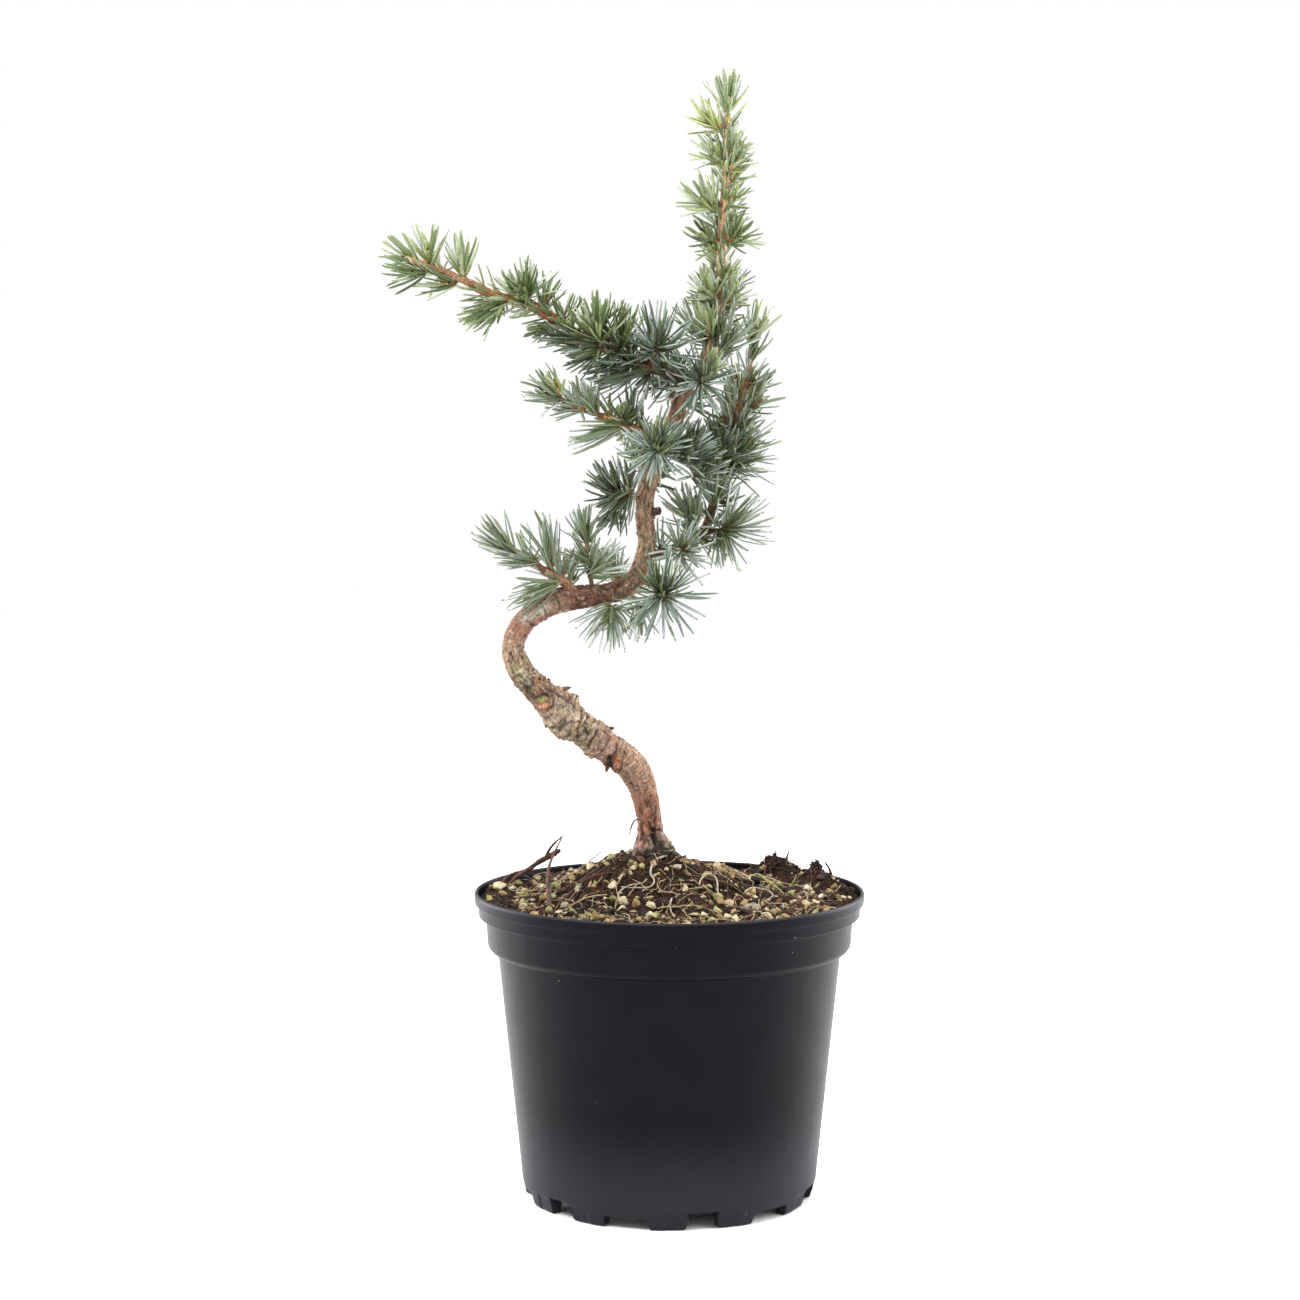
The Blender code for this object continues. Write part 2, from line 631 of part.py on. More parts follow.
def foot_cutter(name, angle, width_angle, top):
    """A block across the foot ring, as wide as an angle of the ring, from below the ground to a height."""
    bottom = -2 * MM
    inner, outer = FOOT_INNER - 3 * MM, WALL_FOOT_RADIUS + 6 * MM
    half_width = FOOT_OUTER * math.sin(width_angle / 2)
    outward = Vector((math.sin(angle), -math.cos(angle), 0))
    across = Vector((math.cos(angle), math.sin(angle), 0))
    mesh = bmesh.new()
    rings = []
    for height in (bottom, top):
        ring = []
        for radius, sideways in ((inner, -1), (outer, -1), (outer, 1), (inner, 1)):
            ring.append(mesh.verts.new(outward * radius + across * half_width * sideways + UP * height))
        rings.append(ring)
    join_rings(mesh, *rings)
    mesh.faces.new(rings[0])
    mesh.faces.new(rings[1])
    cutter = add_object(name, mesh, "pot_black")
    cutter.hide_render = True
    cutter.display_type = "WIRE"
    return cutter


# Soil


def soil_height(x, y):
    """Height of the soil: a mound at the trunk's foot, low at the wall, with clods between."""
    from_trunk = math.hypot(x - TRUNK_FOOT[0], y - TRUNK_FOOT[1])
    seat_height = TRUNK_FOOT[2] - GAP
    share = min(1, max(0, (from_trunk - SEAT_RADIUS) / MOUND_REACH))
    mound = ((1 + math.cos(math.pi * share)) / 2) ** MOUND_STEEPNESS
    clods = math.sin(x / (9 * MM) + 1.3) * math.cos(y / (7.5 * MM)) + 0.6 * math.sin((x - y) / (5 * MM))
    return SOIL_AT_WALL + (seat_height - SOIL_AT_WALL) * mound + CLOD_HEIGHT * clods * min(1, share * 6)


def make_soil():
    """Compost that fills the pot: the pot's inner shape, a hair smaller, under the mounded surface."""
    mesh = bmesh.new()
    flat_of_wall = math.cos(math.pi / POT_SEGMENTS)
    angles = [2 * math.pi * k / SOIL_SEGMENTS for k in range(SOIL_SEGMENTS)]
    rings = []
    for radius, height in pot_inner_profile(GAP):
        ring = []
        for angle in angles:
            outward = Vector((math.cos(angle), math.sin(angle), 0))
            ring.append(mesh.verts.new(outward * radius * flat_of_wall + UP * height))
        rings.append(ring)
    wall_radius = (BAND_RADIUS - WALL - GAP) * flat_of_wall
    for k in range(SOIL_RINGS + 1):
        inward = k / SOIL_RINGS
        radius = wall_radius * (1 - inward) + SEAT_RADIUS * inward
        ring = []
        for angle in angles:
            x = TRUNK_FOOT[0] * inward + radius * math.cos(angle)
            y = TRUNK_FOOT[1] * inward + radius * math.sin(angle)
            ring.append(mesh.verts.new((x, y, soil_height(x, y))))
        rings.append(ring)
    for low, high in zip(rings, rings[1:]):
        join_rings(mesh, low, high)
    mesh.faces.new(rings[0])
    mesh.faces.new(rings[-1])
    return add_object("soil", mesh, "soil_brown")


# Trunk and boughs


def trunk_swell(corner, outward):
    """Added height of the burls, lips and root lumps at a place on the bark."""
    height = 0
    for x, y, z, lump, reach in TRUNK_LUMPS:
        away = (corner - Vector((x, y, z)) * MM).length / (reach * MM)
        height += lump * MM * math.exp(-(away**2))
    return height


def clear_start(curve, parent):
    """Distance along a bough at which its end face stands clear of the parent's bark."""
    for start in np.arange(0, curve.length, GAP):
        point, tangent, radius = curve.at(start)
        spot, along, parent_radius = parent.at(parent.nearest(point))
        if (point - spot).length - radius * abs(tangent.dot(along)) > parent_radius + GAP:
            return start
    raise ValueError("the bough never leaves its parent")


def spread_stops(start, end, step):
    """Distances from start to end, about a step apart."""
    count = max(2, round((end - start) / step))
    return [start + (end - start) * k / count for k in range(count + 1)]


def make_trunk(limbs, taken):
    """The trunk in four pieces, split at its two bends and at the fork, with its cut twigs' stubs."""
    pieces = {
        "trunk_lower": TRUNK_LOWER,
        "trunk_middle": TRUNK_MIDDLE,
        "trunk_upper": TRUNK_UPPER,
        "leader": LEADER,
    }
    whole = Curve(sum(pieces.values(), ()))
    starts = [whole.nearest(Vector(controls[0][:3]) * MM) for controls in pieces.values()]
    ends = starts[1:] + [whole.length]
    for name, start, end in zip(pieces, starts, ends):
        first = start + (GAP / 2 if start else 0)
        last = end - (GAP / 2 if end < whole.length else 0)
        stations = [whole.at(stop) for stop in spread_stops(first, last, TRUNK_RING_STEP)]
        if name == "trunk_lower":
            foot, _, radius = stations[0]
            stations[0] = (foot, UP, radius)
        sides = LEADER_SIDES if name == "leader" else TRUNK_SIDES
        piece = sweep(name, stations, sides, "bark_brown", trunk_swell)
        stubs = [make_stub(stub, k) for k, stub in enumerate(STUBS) if stub[0] == name]
        if stubs:
            combine(piece, stubs, "UNION")
        limbs[name] = Limb(whole, first, last, trunk_swell)
        add_limb_space(taken, name, limbs[name])


def make_stub(stub, number):
    """The short dead end of a cut twig, a little thicker at its root."""
    _, root, tip, diameter = stub
    root, tip = Vector(root) * MM, Vector(tip) * MM
    direction = (tip - root).normalized()
    stations = [(root, direction, diameter * 0.6 * MM), (tip, direction, diameter * 0.45 * MM)]
    return sweep(f"stub_{number}", stations, 7, "bark_brown")


def add_limb_space(taken, name, limb):
    """Marks a limb's space as taken, with its lumps and stubs."""
    stations = limb.curve.cut(limb.start, limb.end)
    for (point, direction, radius), (point_after, _, radius_after) in zip(stations, stations[1:]):
        side = direction.orthogonal().normalized()
        across = direction.cross(side)
        extra = max(limb.swell(point + way * radius, way) for way in (side, across, -side, -across))
        taken.add(name, point, point_after, radius + extra, radius_after + extra)
    for stub_limb, root, tip, diameter in STUBS:
        if stub_limb == name:
            radius = diameter * 0.6 * MM
            taken.add(name, Vector(root) * MM, Vector(tip) * MM, radius, radius)


def make_boughs(limbs, taken):
    """The boughs, each from its parent's bark to where it enters its last mass of needles."""
    for name, (parent_name, controls) in BOUGHS.items():
        curve = Curve(controls)
        start = clear_start(curve, limbs[parent_name].curve)
        stations = [curve.at(stop) for stop in spread_stops(start, curve.length, BOUGH_RING_STEP)]
        sweep(name, stations, BOUGH_SIDES, "bark_brown")
        limbs[name] = Limb(curve, start, curve.length, no_swell)
        add_limb_space(taken, name, limbs[name])


def make_twig_on_soil(soil):
    """A fallen dead twig that leans up from where it rests on the soil near the wall."""
    curve = Curve(TWIG_ON_SOIL)
    stations = [curve.at(stop) for stop in spread_stops(0, curve.length, BOUGH_RING_STEP)]
    corners = [vertex.co for vertex in soil.data.vertices]
    surface = BVHTree.FromPolygons(corners, [face.vertices for face in soil.data.polygons])
    clearances = []
    for point, _, radius in stations:
        ground, *_ = surface.ray_cast(point + UP * POT_HEIGHT, -UP)
        clearances.append(point.z - radius - ground.z)
    drop = UP * (min(clearances) - GAP)
    seated = [(point - drop, tangent, radius) for point, tangent, radius in stations]
    sweep("fallen_twig", seated, 6, "bark_brown")


# Foliage


def twig_stations(start, outward, tuft):
    """A twig's centre line: it leaves its root outwards, bends, and ends in the tuft's bud."""
    centre = Vector(tuft.centre) * MM
    lean = Vector(tuft.lean).normalized()
    bud_root = centre - lean * BUD_LENGTH / 2
    reach = (bud_root - start).length
    bend = start + outward * reach * 0.5
    stations = []
    steps = max(1, round(reach / TWIG_RING_STEP))
    for k in range(steps):
        u = k / steps
        point = start * (1 - u) ** 2 + bend * 2 * u * (1 - u) + bud_root * u**2
        direction = (bend - start) * (1 - u) + (bud_root - bend) * u
        stations.append((point, direction.normalized(), TWIG_RADIUS))
    stations.append((bud_root, lean, BUD_RADIUS))
    stations.append((centre + lean * BUD_LENGTH / 2, lean, BUD_RADIUS * 0.8))
    return stations


def tuft_needles(tuft, rng):
    """Root, tip and lean of each needle: a golden-angle spiral up the bud, wide below, narrow above."""
    centre = Vector(tuft.centre) * MM
    lean = Vector(tuft.lean).normalized()
    side = lean.orthogonal().normalized()
    across = lean.cross(side)
    turn = rng.uniform(0, 2 * math.pi)
    count = round(tuft.count * NEEDLE_SHARE)
    for k in range(count):
        share = (k + 0.5) / count
        tilt = math.radians(tuft.spread) * math.sqrt(share) * (1 + 0.08 * rng.uniform(-1, 1))
        azimuth = turn + k * GOLDEN_ANGLE + 0.15 * rng.uniform(-1, 1)
        outward = side * math.cos(azimuth) + across * math.sin(azimuth)
        root = centre + lean * BUD_LENGTH * (0.42 - 0.8 * share)
        length = tuft.needle * MM * (0.86 + 0.14 * share) * (1 + 0.08 * rng.uniform(-1, 1))
        yield root, lean, outward, tilt, length


def grow_needles(name, tuft, rng, taken):
    """The needles of one tuft that find room, each at the first free lean near its own."""
    solids = []
    for root, lean, outward, tilt, length in tuft_needles(tuft, rng):
        across = lean.cross(outward)
        for attempt in range(TRIES):
            nudge = LEAN_STEP * ((attempt + 1) // 2) * (-1) ** attempt
            way = lean * math.cos(tilt + nudge) + outward * math.sin(tilt + nudge)
            way = (way + across * math.tan(nudge) * 0.6).normalized()
            tip = root + way * length
            middle = root.lerp(tip, NEEDLE_WIDEST)
            halves = ((root, middle, 0, NEEDLE_RADIUS), (middle, tip, NEEDLE_RADIUS, 0))
            if all(taken.is_clear(name, *half) for half in halves):
                for half in halves:
                    taken.add(name, *half)
                solids.append(needle_solid(f"{name}_needle", root, tip, NEEDLE_RADIUS))
                break
    return solids


def twig_root(limb, where, first_tuft):
    """Where a mass's stem starts, a gap clear of its limb, and the way it sets out."""
    if where == AT_TIP:
        point, tangent, _ = limb.curve.at(limb.end)
        return point + tangent * GAP, tangent
    centre = Vector(first_tuft.centre) * MM
    distance = min(max(limb.curve.nearest(centre), limb.start), limb.end)
    point, tangent, radius = limb.curve.at(distance)
    outward = centre - point
    outward = (outward - tangent * outward.dot(tangent)).normalized()
    lump = limb.swell(point + outward * radius, outward)
    return point + outward * (radius + lump + GAP), outward


def mass_twigs(name, limbs):
    """The centre lines of a mass's twigs: the first from the limb, each later one from a twig before."""
    limb_name, where, tufts = MASSES[name]
    start, outward = twig_root(limbs[limb_name], where, tufts[0])
    twigs = [twig_stations(start, outward, tufts[0])]
    for tuft in tufts[1:]:
        target = Vector(tuft.centre) * MM - Vector(tuft.lean).normalized() * BUD_LENGTH / 2
        rows = [station for twig in twigs for station in twig[1:]]
        point, direction, _ = min(rows, key=lambda row: (row[0] - target).length)
        away = (target - point).normalized()
        twigs.append(twig_stations(point, (away * 2 + direction).normalized(), tuft))
    return twigs


def make_foliage(limbs, taken):
    """Every mass of needles: first all the twigs take their space, then the needles fill what is left."""
    plans = {name: mass_twigs(name, limbs) for name in MASSES}
    for name, twigs in plans.items():
        for twig in twigs:
            for (point, _, radius), (point_after, _, radius_after) in zip(twig, twig[1:]):
                taken.add(name, point, point_after, radius, radius_after)
    for name, twigs in plans.items():
        rng = random.Random(f"{SEED} {name}")
        solids = [sweep(f"{name}_twig", twig, TWIG_SIDES, "needle_blue_green") for twig in twigs]
        for tuft in MASSES[name][2]:
            solids += grow_needles(name, tuft, rng, taken)
        base = solids[0]
        base.name = name
        combine(base, solids[1:], "UNION")


def main():
    for old in list(bpy.data.objects):
        bpy.data.objects.remove(old)
    limbs = {}
    taken = Taken()
    make_pot()
    make_twig_on_soil(make_soil())
    make_trunk(limbs, taken)
    make_boughs(limbs, taken)
    make_foliage(limbs, taken)


main()
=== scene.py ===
"""Looks of the potted cedar: pot, compost, bark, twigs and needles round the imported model.

Everything is built in metres in the model's own frame, +Z up, with the front towards -Y. The tables
are in millimetres, and their colours are the display values, 0 to 255, that show in the studio.
"""

import math
import random
from collections import namedtuple

import bpy
import numpy as np
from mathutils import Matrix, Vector, noise


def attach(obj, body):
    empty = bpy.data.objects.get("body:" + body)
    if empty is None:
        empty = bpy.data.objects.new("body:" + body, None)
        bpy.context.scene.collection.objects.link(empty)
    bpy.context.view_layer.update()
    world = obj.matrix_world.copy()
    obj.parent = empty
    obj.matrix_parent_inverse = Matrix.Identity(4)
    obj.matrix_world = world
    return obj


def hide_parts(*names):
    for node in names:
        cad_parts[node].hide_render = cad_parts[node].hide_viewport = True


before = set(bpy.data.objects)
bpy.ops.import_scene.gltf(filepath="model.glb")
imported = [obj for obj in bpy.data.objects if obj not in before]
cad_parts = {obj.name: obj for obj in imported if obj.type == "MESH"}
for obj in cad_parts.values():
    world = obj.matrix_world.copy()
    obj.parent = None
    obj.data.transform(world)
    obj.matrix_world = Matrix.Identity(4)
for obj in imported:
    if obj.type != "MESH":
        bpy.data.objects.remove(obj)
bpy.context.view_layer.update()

MM = 0.001
UP = Vector((0, 0, 1))
GOLDEN_ANGLE = math.radians(137.508)
SEED = 23

# Pot, as in the model: radii are outer ones, heights are from the ground
POT_HEIGHT = 150 * MM
LIP_RADIUS = 95 * MM
LIP_BOTTOM = 144 * MM
BAND_RADIUS = 93 * MM
BAND_BOTTOM = 138 * MM
COLLAR_RADIUS = 89.4 * MM
COLLAR_FOOT_RADIUS = 88.5 * MM
COLLAR_BOTTOM = 122 * MM
WALL_TOP_RADIUS = 83.6 * MM
WALL_FOOT_RADIUS = 71.7 * MM
WALL = 1.4 * MM
FLOOR_UNDERSIDE = 6 * MM
FOOT_OUTER = 69.0 * MM
FOOT_INNER = 64.5 * MM
PAD_RADIUS = 14 * MM
FIRST_SLOT = math.radians(12.6)
SLOT_ANGLE = math.radians(12)
SLOT_TOP = 8.6 * MM
PLAIN_GAP_ANGLE = math.radians(18)
PLAIN_GAP_TOP = 5.5 * MM
PATTERN_ANGLE = math.radians(60)

# Soil, as in the model
SOIL_AT_WALL = 144.5 * MM
TRUNK_FOOT = (-8 * MM, 11 * MM, 164 * MM)
SEAT_RADIUS = 12.5 * MM
MOUND_REACH = 68 * MM
MOUND_STEEPNESS = 1.6

# Limbs, as in the model: (x, y, z, diameter) along the centre line
TRUNK = (
    (-8, 11, 164, 18), (-9, 12, 174, 12.8), (-10, 11, 185, 11.8), (-12, 10, 195, 13), (-16, 8, 207, 14),
    (-24, 4, 216, 13.8), (-33, 0, 222, 14.2), (-42, -4, 229, 15.5), (-51, -8, 236, 17.5),
    (-62, -12, 248, 13.6), (-71, -14, 258, 12), (-75, -14, 269, 10.6), (-72, -12, 279, 10.6),
    (-65, -9, 286, 11), (-55, -4, 291, 11.6), (-41, 3, 293, 11.2), (-30, 8, 294, 10), (-20, 11, 298, 10),
    (-14, 12, 306, 9.4), (-11, 11, 318, 8.8), (-12, 8, 332, 9), (-12, 6, 341, 8.6), (-8, 2, 353, 8),
    (-3, 0, 366, 8), (2, 1, 376, 8), (5, 3, 387, 7.8), (9, 5, 396, 7.2), (15, 8, 405, 5.6),
    (21, 12, 418, 5), (24, 14, 430, 4.8), (25, 14, 444, 4.6), (25, 12, 461, 4.4), (26, 9, 481, 3.8),
    (27, 7, 497, 3.3), (27, 5, 512, 2.6), (28, 4, 525, 2.2),
)
# The control point where each node of the trunk begins
TRUNK_NODES = {"trunk_lower": 0, "trunk_middle": 11, "trunk_upper": 17, "leader": 26}
BOUGHS = {
    "bough_left_upper": (
        (9, 5, 396, 6), (-1, 2, 401, 5.4), (-14, 0, 405, 5), (-28, -2, 412, 4.8), (-42, -4, 418, 4.8),
        (-56, -5, 427, 4.8), (-71, -7, 435, 5), (-82, -8, 437, 4.6), (-93, -9, 442, 4.2),
    ),
    "bough_left_middle": ((-3, 0, 366, 4.6), (-14, -2, 373, 4.2), (-23, -4, 377, 4), (-32, -6, 380, 3.8)),
    "bough_left_lower": ((-46, 0, 292, 5.5), (-50, -3, 300, 5), (-55, -5, 303, 4.6), (-60, -6, 306, 4)),
    "bough_right_lower": ((-11, 11, 312, 5), (-1, 15, 314, 4.8), (9, 19, 319, 4.6), (18, 22, 323, 4.4)),
    "bough_right_upper": (
        (17, 22, 322, 4.4), (20, 24, 331, 4.4), (22, 24, 339, 4.2), (23, 24, 350, 4), (27, 23, 362, 3.8),
        (34, 21, 384, 3.6), (37, 20, 395, 3.4), (39, 19, 404, 3.2),
    ),
}
# The shoot that carries on from the left upper bough, in front of its tufts
LEFT_SHOOT = (
    (-90, -8.6, 441, 3.6), (-96.1, -11.5, 443.8, 3.3), (-101.2, -13, 446, 3), (-106.3, -13.6, 448.6, 2.8),
    (-114, -13.6, 450.5, 2.7), (-119.8, -13.4, 452.7, 2.7), (-125.6, -13, 455, 2.3),
)
CURVE_STEP = 1.5 * MM

# Foliage: the places of the tufts are the model's. By limb and mass: the needles' age, the needles'
# number against the model's, and the tufts as (centre x, y, z, lean x, y, z, needle's length, count,
# spread in degrees), with an age where it isn't the mass's. The first tuft grows from the limb, or
# from its end where the mass is a tip or an end, and each later one from the twigs before it.
TUFTS = (
    ("leader", {
        "leader_tip": ("fresh", 1.95, (28, 4, 530, 0.05, -0.1, 1, 16, 18, 55),),
        "leader_left_top": ("lime", 1.9, (21, 0, 519, -0.75, -0.3, 0.55, 16, 16, 55),),
        "leader_right_top": ("fresh", 1.7,
            (31, 1, 508, 0.6, -0.4, 0.7, 13, 12, 60), (31, 4, 495, 0.7, 0.1, 0.7, 13, 8, 45),
            (31, 0, 500, 0.6, -0.5, 0.7, 13, 9, 60),
        ),
        "leader_left_whorl": ("fresh", 1.7, (22, 1, 504, -0.75, -0.3, 0.5, 15, 12, 60),),
        "leader_left_middle": ("fresh", 1.7, (18, 3, 482, -0.7, -0.3, 0.6, 17, 18, 62),),
        "leader_right_middle": ("deep", 2, (31, 5, 466, 0.6, -0.5, 0.6, 16, 20, 75),),
        "leader_left_low": ("deep", 1.9, (19, 8, 465, -0.75, -0.2, 0.5, 14, 14, 62),),
        "leader_shaft_left": ("fresh", 1.7, (20, 8, 440, -0.4, -0.5, 0.8, 14, 14, 60),),
        "leader_shaft_right": ("fresh", 1.7, (29, 9, 438, 0.45, -0.4, 0.8, 14, 12, 55),),
        "leader_low_left": ("green", 2,
            (19, 5, 423, -0.25, -0.4, 0.9, 14, 13, 60), (15, 11, 419, -0.7, 0.2, 0.75, 22, 12, 45, "blue"),
        ),
        "leader_low_right": ("blue", 2.2, (26, 7, 414, 0.55, -0.2, 0.75, 25, 18, 50),),
        "fork_front": ("steel", 3,
            (15, -8, 397, 0.05, -0.9, 0.25, 20, 24, 90), (20, -9, 403, 0.3, -0.5, 0.8, 11, 9, 45, "green"),
        ),
        "leader_back_high": ("blue", 2.2,
            (26, 26, 472, -0.1, 0.8, 0.5, 16, 14, 72), (25, 18, 468, 0.5, 0.7, 0.5, 13, 12, 65),
            (29, 22, 478, 0.5, 0.5, 0.7, 12, 10, 60),
        ),
        "leader_back_low": ("blue", 2.2,
            (22, 34, 434, -0.4, 0.7, 0.4, 17, 14, 70), (29, 46, 444, 0.4, 0.75, 0.5, 16, 14, 70),
            (24, 23, 431, 0.6, 0.6, 0.4, 15, 13, 70), (19, 29, 440, -0.6, 0.6, 0.5, 15, 12, 65),
            (26, 41, 437, 0.1, 0.9, -0.2, 15, 12, 65),
        ),
    }),
    ("bough_left_upper", {
        "left_upper_tip": ("fresh", 1.3,
            (-99, -10, 450, -0.05, -0.25, 1, 18, 20, 60),
            (-105, -12, 443, -0.95, -0.3, -0.12, 20, 14, 34, "deep"),
            (-110, 1, 450, -0.3, 0.9, 0.3, 16, 12, 65), (-115, -10, 456, -0.2, -0.2, 1, 17, 19, 62),
            (-119, -14, 448, -0.95, -0.35, -0.12, 19, 16, 38, "deep"),
            (-124, -10, 455, -0.9, -0.1, 0.3, 16, 15, 50),
        ),
        "left_upper_low": ("deep", 2.2, (-83, -11, 432, -0.85, -0.3, -0.4, 19, 18, 48),),
        "left_upper_top": ("deep", 2.2,
            (-68, -11, 440, -0.1, -0.5, 0.9, 17, 18, 68), (-72, 3, 441, -0.1, 0.9, 0.4, 16, 12, 70),
        ),
        "left_upper_under": ("steel", 2.2,
            (-36, -9, 411, -0.9, -0.35, -0.3, 20, 14, 38),
            (-47, -10, 417, -0.95, -0.25, -0.05, 19, 12, 28), (-26, -9, 411, -0.6, -0.5, -0.35, 18, 8, 60),
        ),
        "left_upper_crest": ("deep", 2.2,
            (-34, -9, 420, -0.25, -0.45, 0.85, 21, 22, 60), (-38, 6, 421, -0.1, 0.8, 0.5, 18, 14, 70),
            (-23, -8, 417, 0.15, -0.5, 0.85, 20, 14, 55),
        ),
        "left_upper_front": ("steel", 3, (-6, -10, 413, 0, -0.7, 0.7, 24, 28, 88),),
        "left_upper_hang": ("steel", 2.2, (-15, -7, 402, -0.9, -0.25, -0.22, 27, 14, 26),),
    }),
    ("bough_left_middle", {
        "left_middle_tip": ("blue", 2.5,
            (-37, -8, 384, -0.5, -0.3, 0.8, 18, 14, 50), (-44, 3, 386, -0.2, 0.9, 0.3, 16, 12, 65),
            (-44, -9, 384, -0.97, -0.1, -0.02, 16, 8, 22), (-55, -12, 390, -0.9, -0.2, 0.3, 17, 16, 48),
            (-54, -15, 394, -0.4, -0.3, 0.85, 9, 6, 30, "fresh"),
        ),
        "left_middle_under": ("blue", 2.6, (-27, -9, 374, -0.92, -0.2, -0.3, 24, 12, 26),),
        "left_middle_root": ("steel", 2.8, (-19, -7, 380, -0.05, -0.2, 1, 16, 10, 40),),
    }),
    ("trunk_upper", {
        "trunk_front": ("steel", 3,
            (-6, -14, 365, 0, -0.95, 0.1, 19, 28, 95),
            (-6, -14.5, 365.5, 0.25, -0.7, 0.65, 17, 12, 48, "deep"),
        ),
        "trunk_right": ("steel", 2.8,
            (5, -5, 362, 0.95, -0.25, 0.12, 21, 18, 62), (9, -4, 361, 0.4, -0.5, 0.8, 20, 15, 60),
            (14, 2, 353, 0.6, -0.5, 0.3, 18, 14, 70),
        ),
        "trunk_left": ("steel", 2.2,
            (-22, -5, 340, -0.65, -0.3, -0.7, 20, 12, 35), (-27, -4, 345, -0.75, -0.3, 0.55, 18, 16, 52),
            (-20, -6, 342, -0.5, -0.5, -0.7, 17, 12, 50), (-25, -8, 337, -0.4, -0.4, -0.9, 17, 10, 40),
            (-20, -6, 347, -0.15, -0.4, 0.9, 14, 10, 45),
        ),
        "trunk_back_high": ("blue", 2.2,
            (9, 27, 388, 0.5, 0.75, 0.1, 18, 14, 70), (-3, 43, 397, -0.4, 0.8, 0.5, 17, 15, 72),
            (7, 19, 388, 0.7, 0.6, 0.3, 15, 12, 70), (2, 36, 391, 0.5, 0.8, 0.1, 16, 13, 70),
            (-2, 30, 396, -0.6, 0.5, 0.6, 15, 12, 65),
        ),
        "trunk_back_low": ("blue", 2.2,
            (-9, 28, 353, 0.4, 0.8, -0.2, 17, 13, 65), (-16, 46, 361, -0.4, 0.85, 0.4, 18, 15, 72),
            (-9, 20, 350, 0.6, 0.7, 0.2, 14, 12, 70), (-13, 38, 355, 0.4, 0.8, -0.1, 16, 13, 70),
            (-12, 34, 362, -0.2, 0.5, 0.8, 15, 12, 60),
        ),
    }),
    ("bough_right_lower", {
        "right_front": ("blue", 2.8, (6, 7, 316, 0.25, -0.85, 0.25, 19, 22, 92),),
        "right_inner": ("blue", 2.6, (11, 15, 331, -0.5, -0.35, 0.75, 20, 18, 60),),
        "right_end": ("blue", 2.5,
            (25, 18, 322, 0.2, -0.4, -0.85, 18, 8, 35), (29, 19, 326, 0.75, -0.55, 0.25, 25, 24, 75),
        ),
    }),
    ("bough_right_upper", {
        "right_tall": ("blue", 2.5, (22, 16, 341, 0.05, -0.35, 0.95, 22, 20, 50),),
        "right_dark": ("deep", 2.6,
            (21, 17, 357, -0.15, -0.3, 0.95, 21, 18, 38),
            (26, 12, 363, 0.4, -0.5, 0.8, 19, 15, 60, "steel"),
        ),
        "right_side": ("blue", 2.2,
            (31, 22, 356, 0.95, -0.3, 0.15, 22, 18, 58), (34, 16, 362, 0.8, -0.5, 0.4, 22, 12, 60),
        ),
        "right_upper_side": ("blue", 1.25,
            (36, 19, 376, 0.8, -0.35, 0.45, 13, 12, 50), (37, 15, 368, 0.8, -0.5, 0.3, 19, 9, 55),
        ),
        "right_upper_inner": ("blue", 1.25,
            (30, 15, 388, -0.35, -0.4, 0.85, 14, 10, 50), (33, 13, 397, -0.2, -0.5, 0.85, 17, 8, 50),
            (29, 14, 377, -0.5, -0.5, 0.6, 17, 9, 55),
        ),
        "right_upper_edge": ("blue", 1.25,
            (42, 18, 393, 0.75, -0.2, 0.6, 14, 10, 42), (42, 14, 386, 0.6, -0.5, 0.6, 18, 8, 50),
        ),
        "right_tip": ("blue", 1.4,
            (41, 18, 410, 0.45, -0.3, 0.85, 14, 10, 45), (41, 18, 419, 0.4, -0.2, 1, 19, 14, 50, "fresh"),
        ),
        "right_back": ("blue", 2.2,
            (27, 44, 363, 0.1, 0.95, 0.2, 18, 20, 78), (36, 40, 392, 0.3, 0.9, 0.4, 15, 14, 72),
            (27, 35, 362, 0.6, 0.6, 0.5, 16, 14, 70), (24, 40, 352, -0.3, 0.7, -0.5, 15, 12, 65),
            (33, 34, 384, 0.5, 0.7, 0.4, 14, 12, 65), (32, 46, 376, -0.3, 0.9, 0.2, 15, 12, 65),
        ),
    }),
    ("bough_left_lower", {
        "left_lower_tip": ("blue", 2,
            (-67, -9, 311, -0.95, -0.25, 0.05, 18, 12, 30), (-69, 6, 311, -0.3, 0.9, 0.3, 17, 12, 70),
            (-78, -10, 317, -0.85, -0.2, 0.5, 20, 20, 42),
        ),
        "left_lower_top": ("blue", 1.9, (-57, -8, 311, -0.25, -0.25, 1, 25, 14, 32),),
        "left_lower_low": ("blue", 1.9, (-57, -11, 299, -0.88, -0.3, -0.35, 25, 18, 34),),
    }),
    ("trunk_middle", {
        "upright": ("blue", 2.2,
            (-37, -1, 306, 0.75, -0.3, 0.55, 21, 14, 60), (-39, -1, 310, -0.75, -0.2, 0.45, 19, 13, 60),
            (-40, -2, 323, -0.15, -0.3, 1, 16, 18, 60),
        ),
        "low_front": ("blue", 2.2,
            (-28, -4, 286, -0.05, -0.45, -0.9, 21, 22, 72), (-14, 0, 287, 0, -0.3, -0.95, 18, 8, 40),
        ),
    }),
    ("trunk_upper", {
        "low_right": ("steel", 3,
            (-3, -13, 295, 0.1, -0.85, -0.1, 25, 30, 92),
            (-4, -14, 296, -0.1, -0.6, 0.8, 19, 12, 40, "deep"),
        ),
        "bend_back": ("blue", 2.2,
            (-19, 34, 295, 0.5, 0.75, -0.1, 18, 14, 68), (-31, 50, 303, -0.5, 0.8, 0.4, 19, 16, 74),
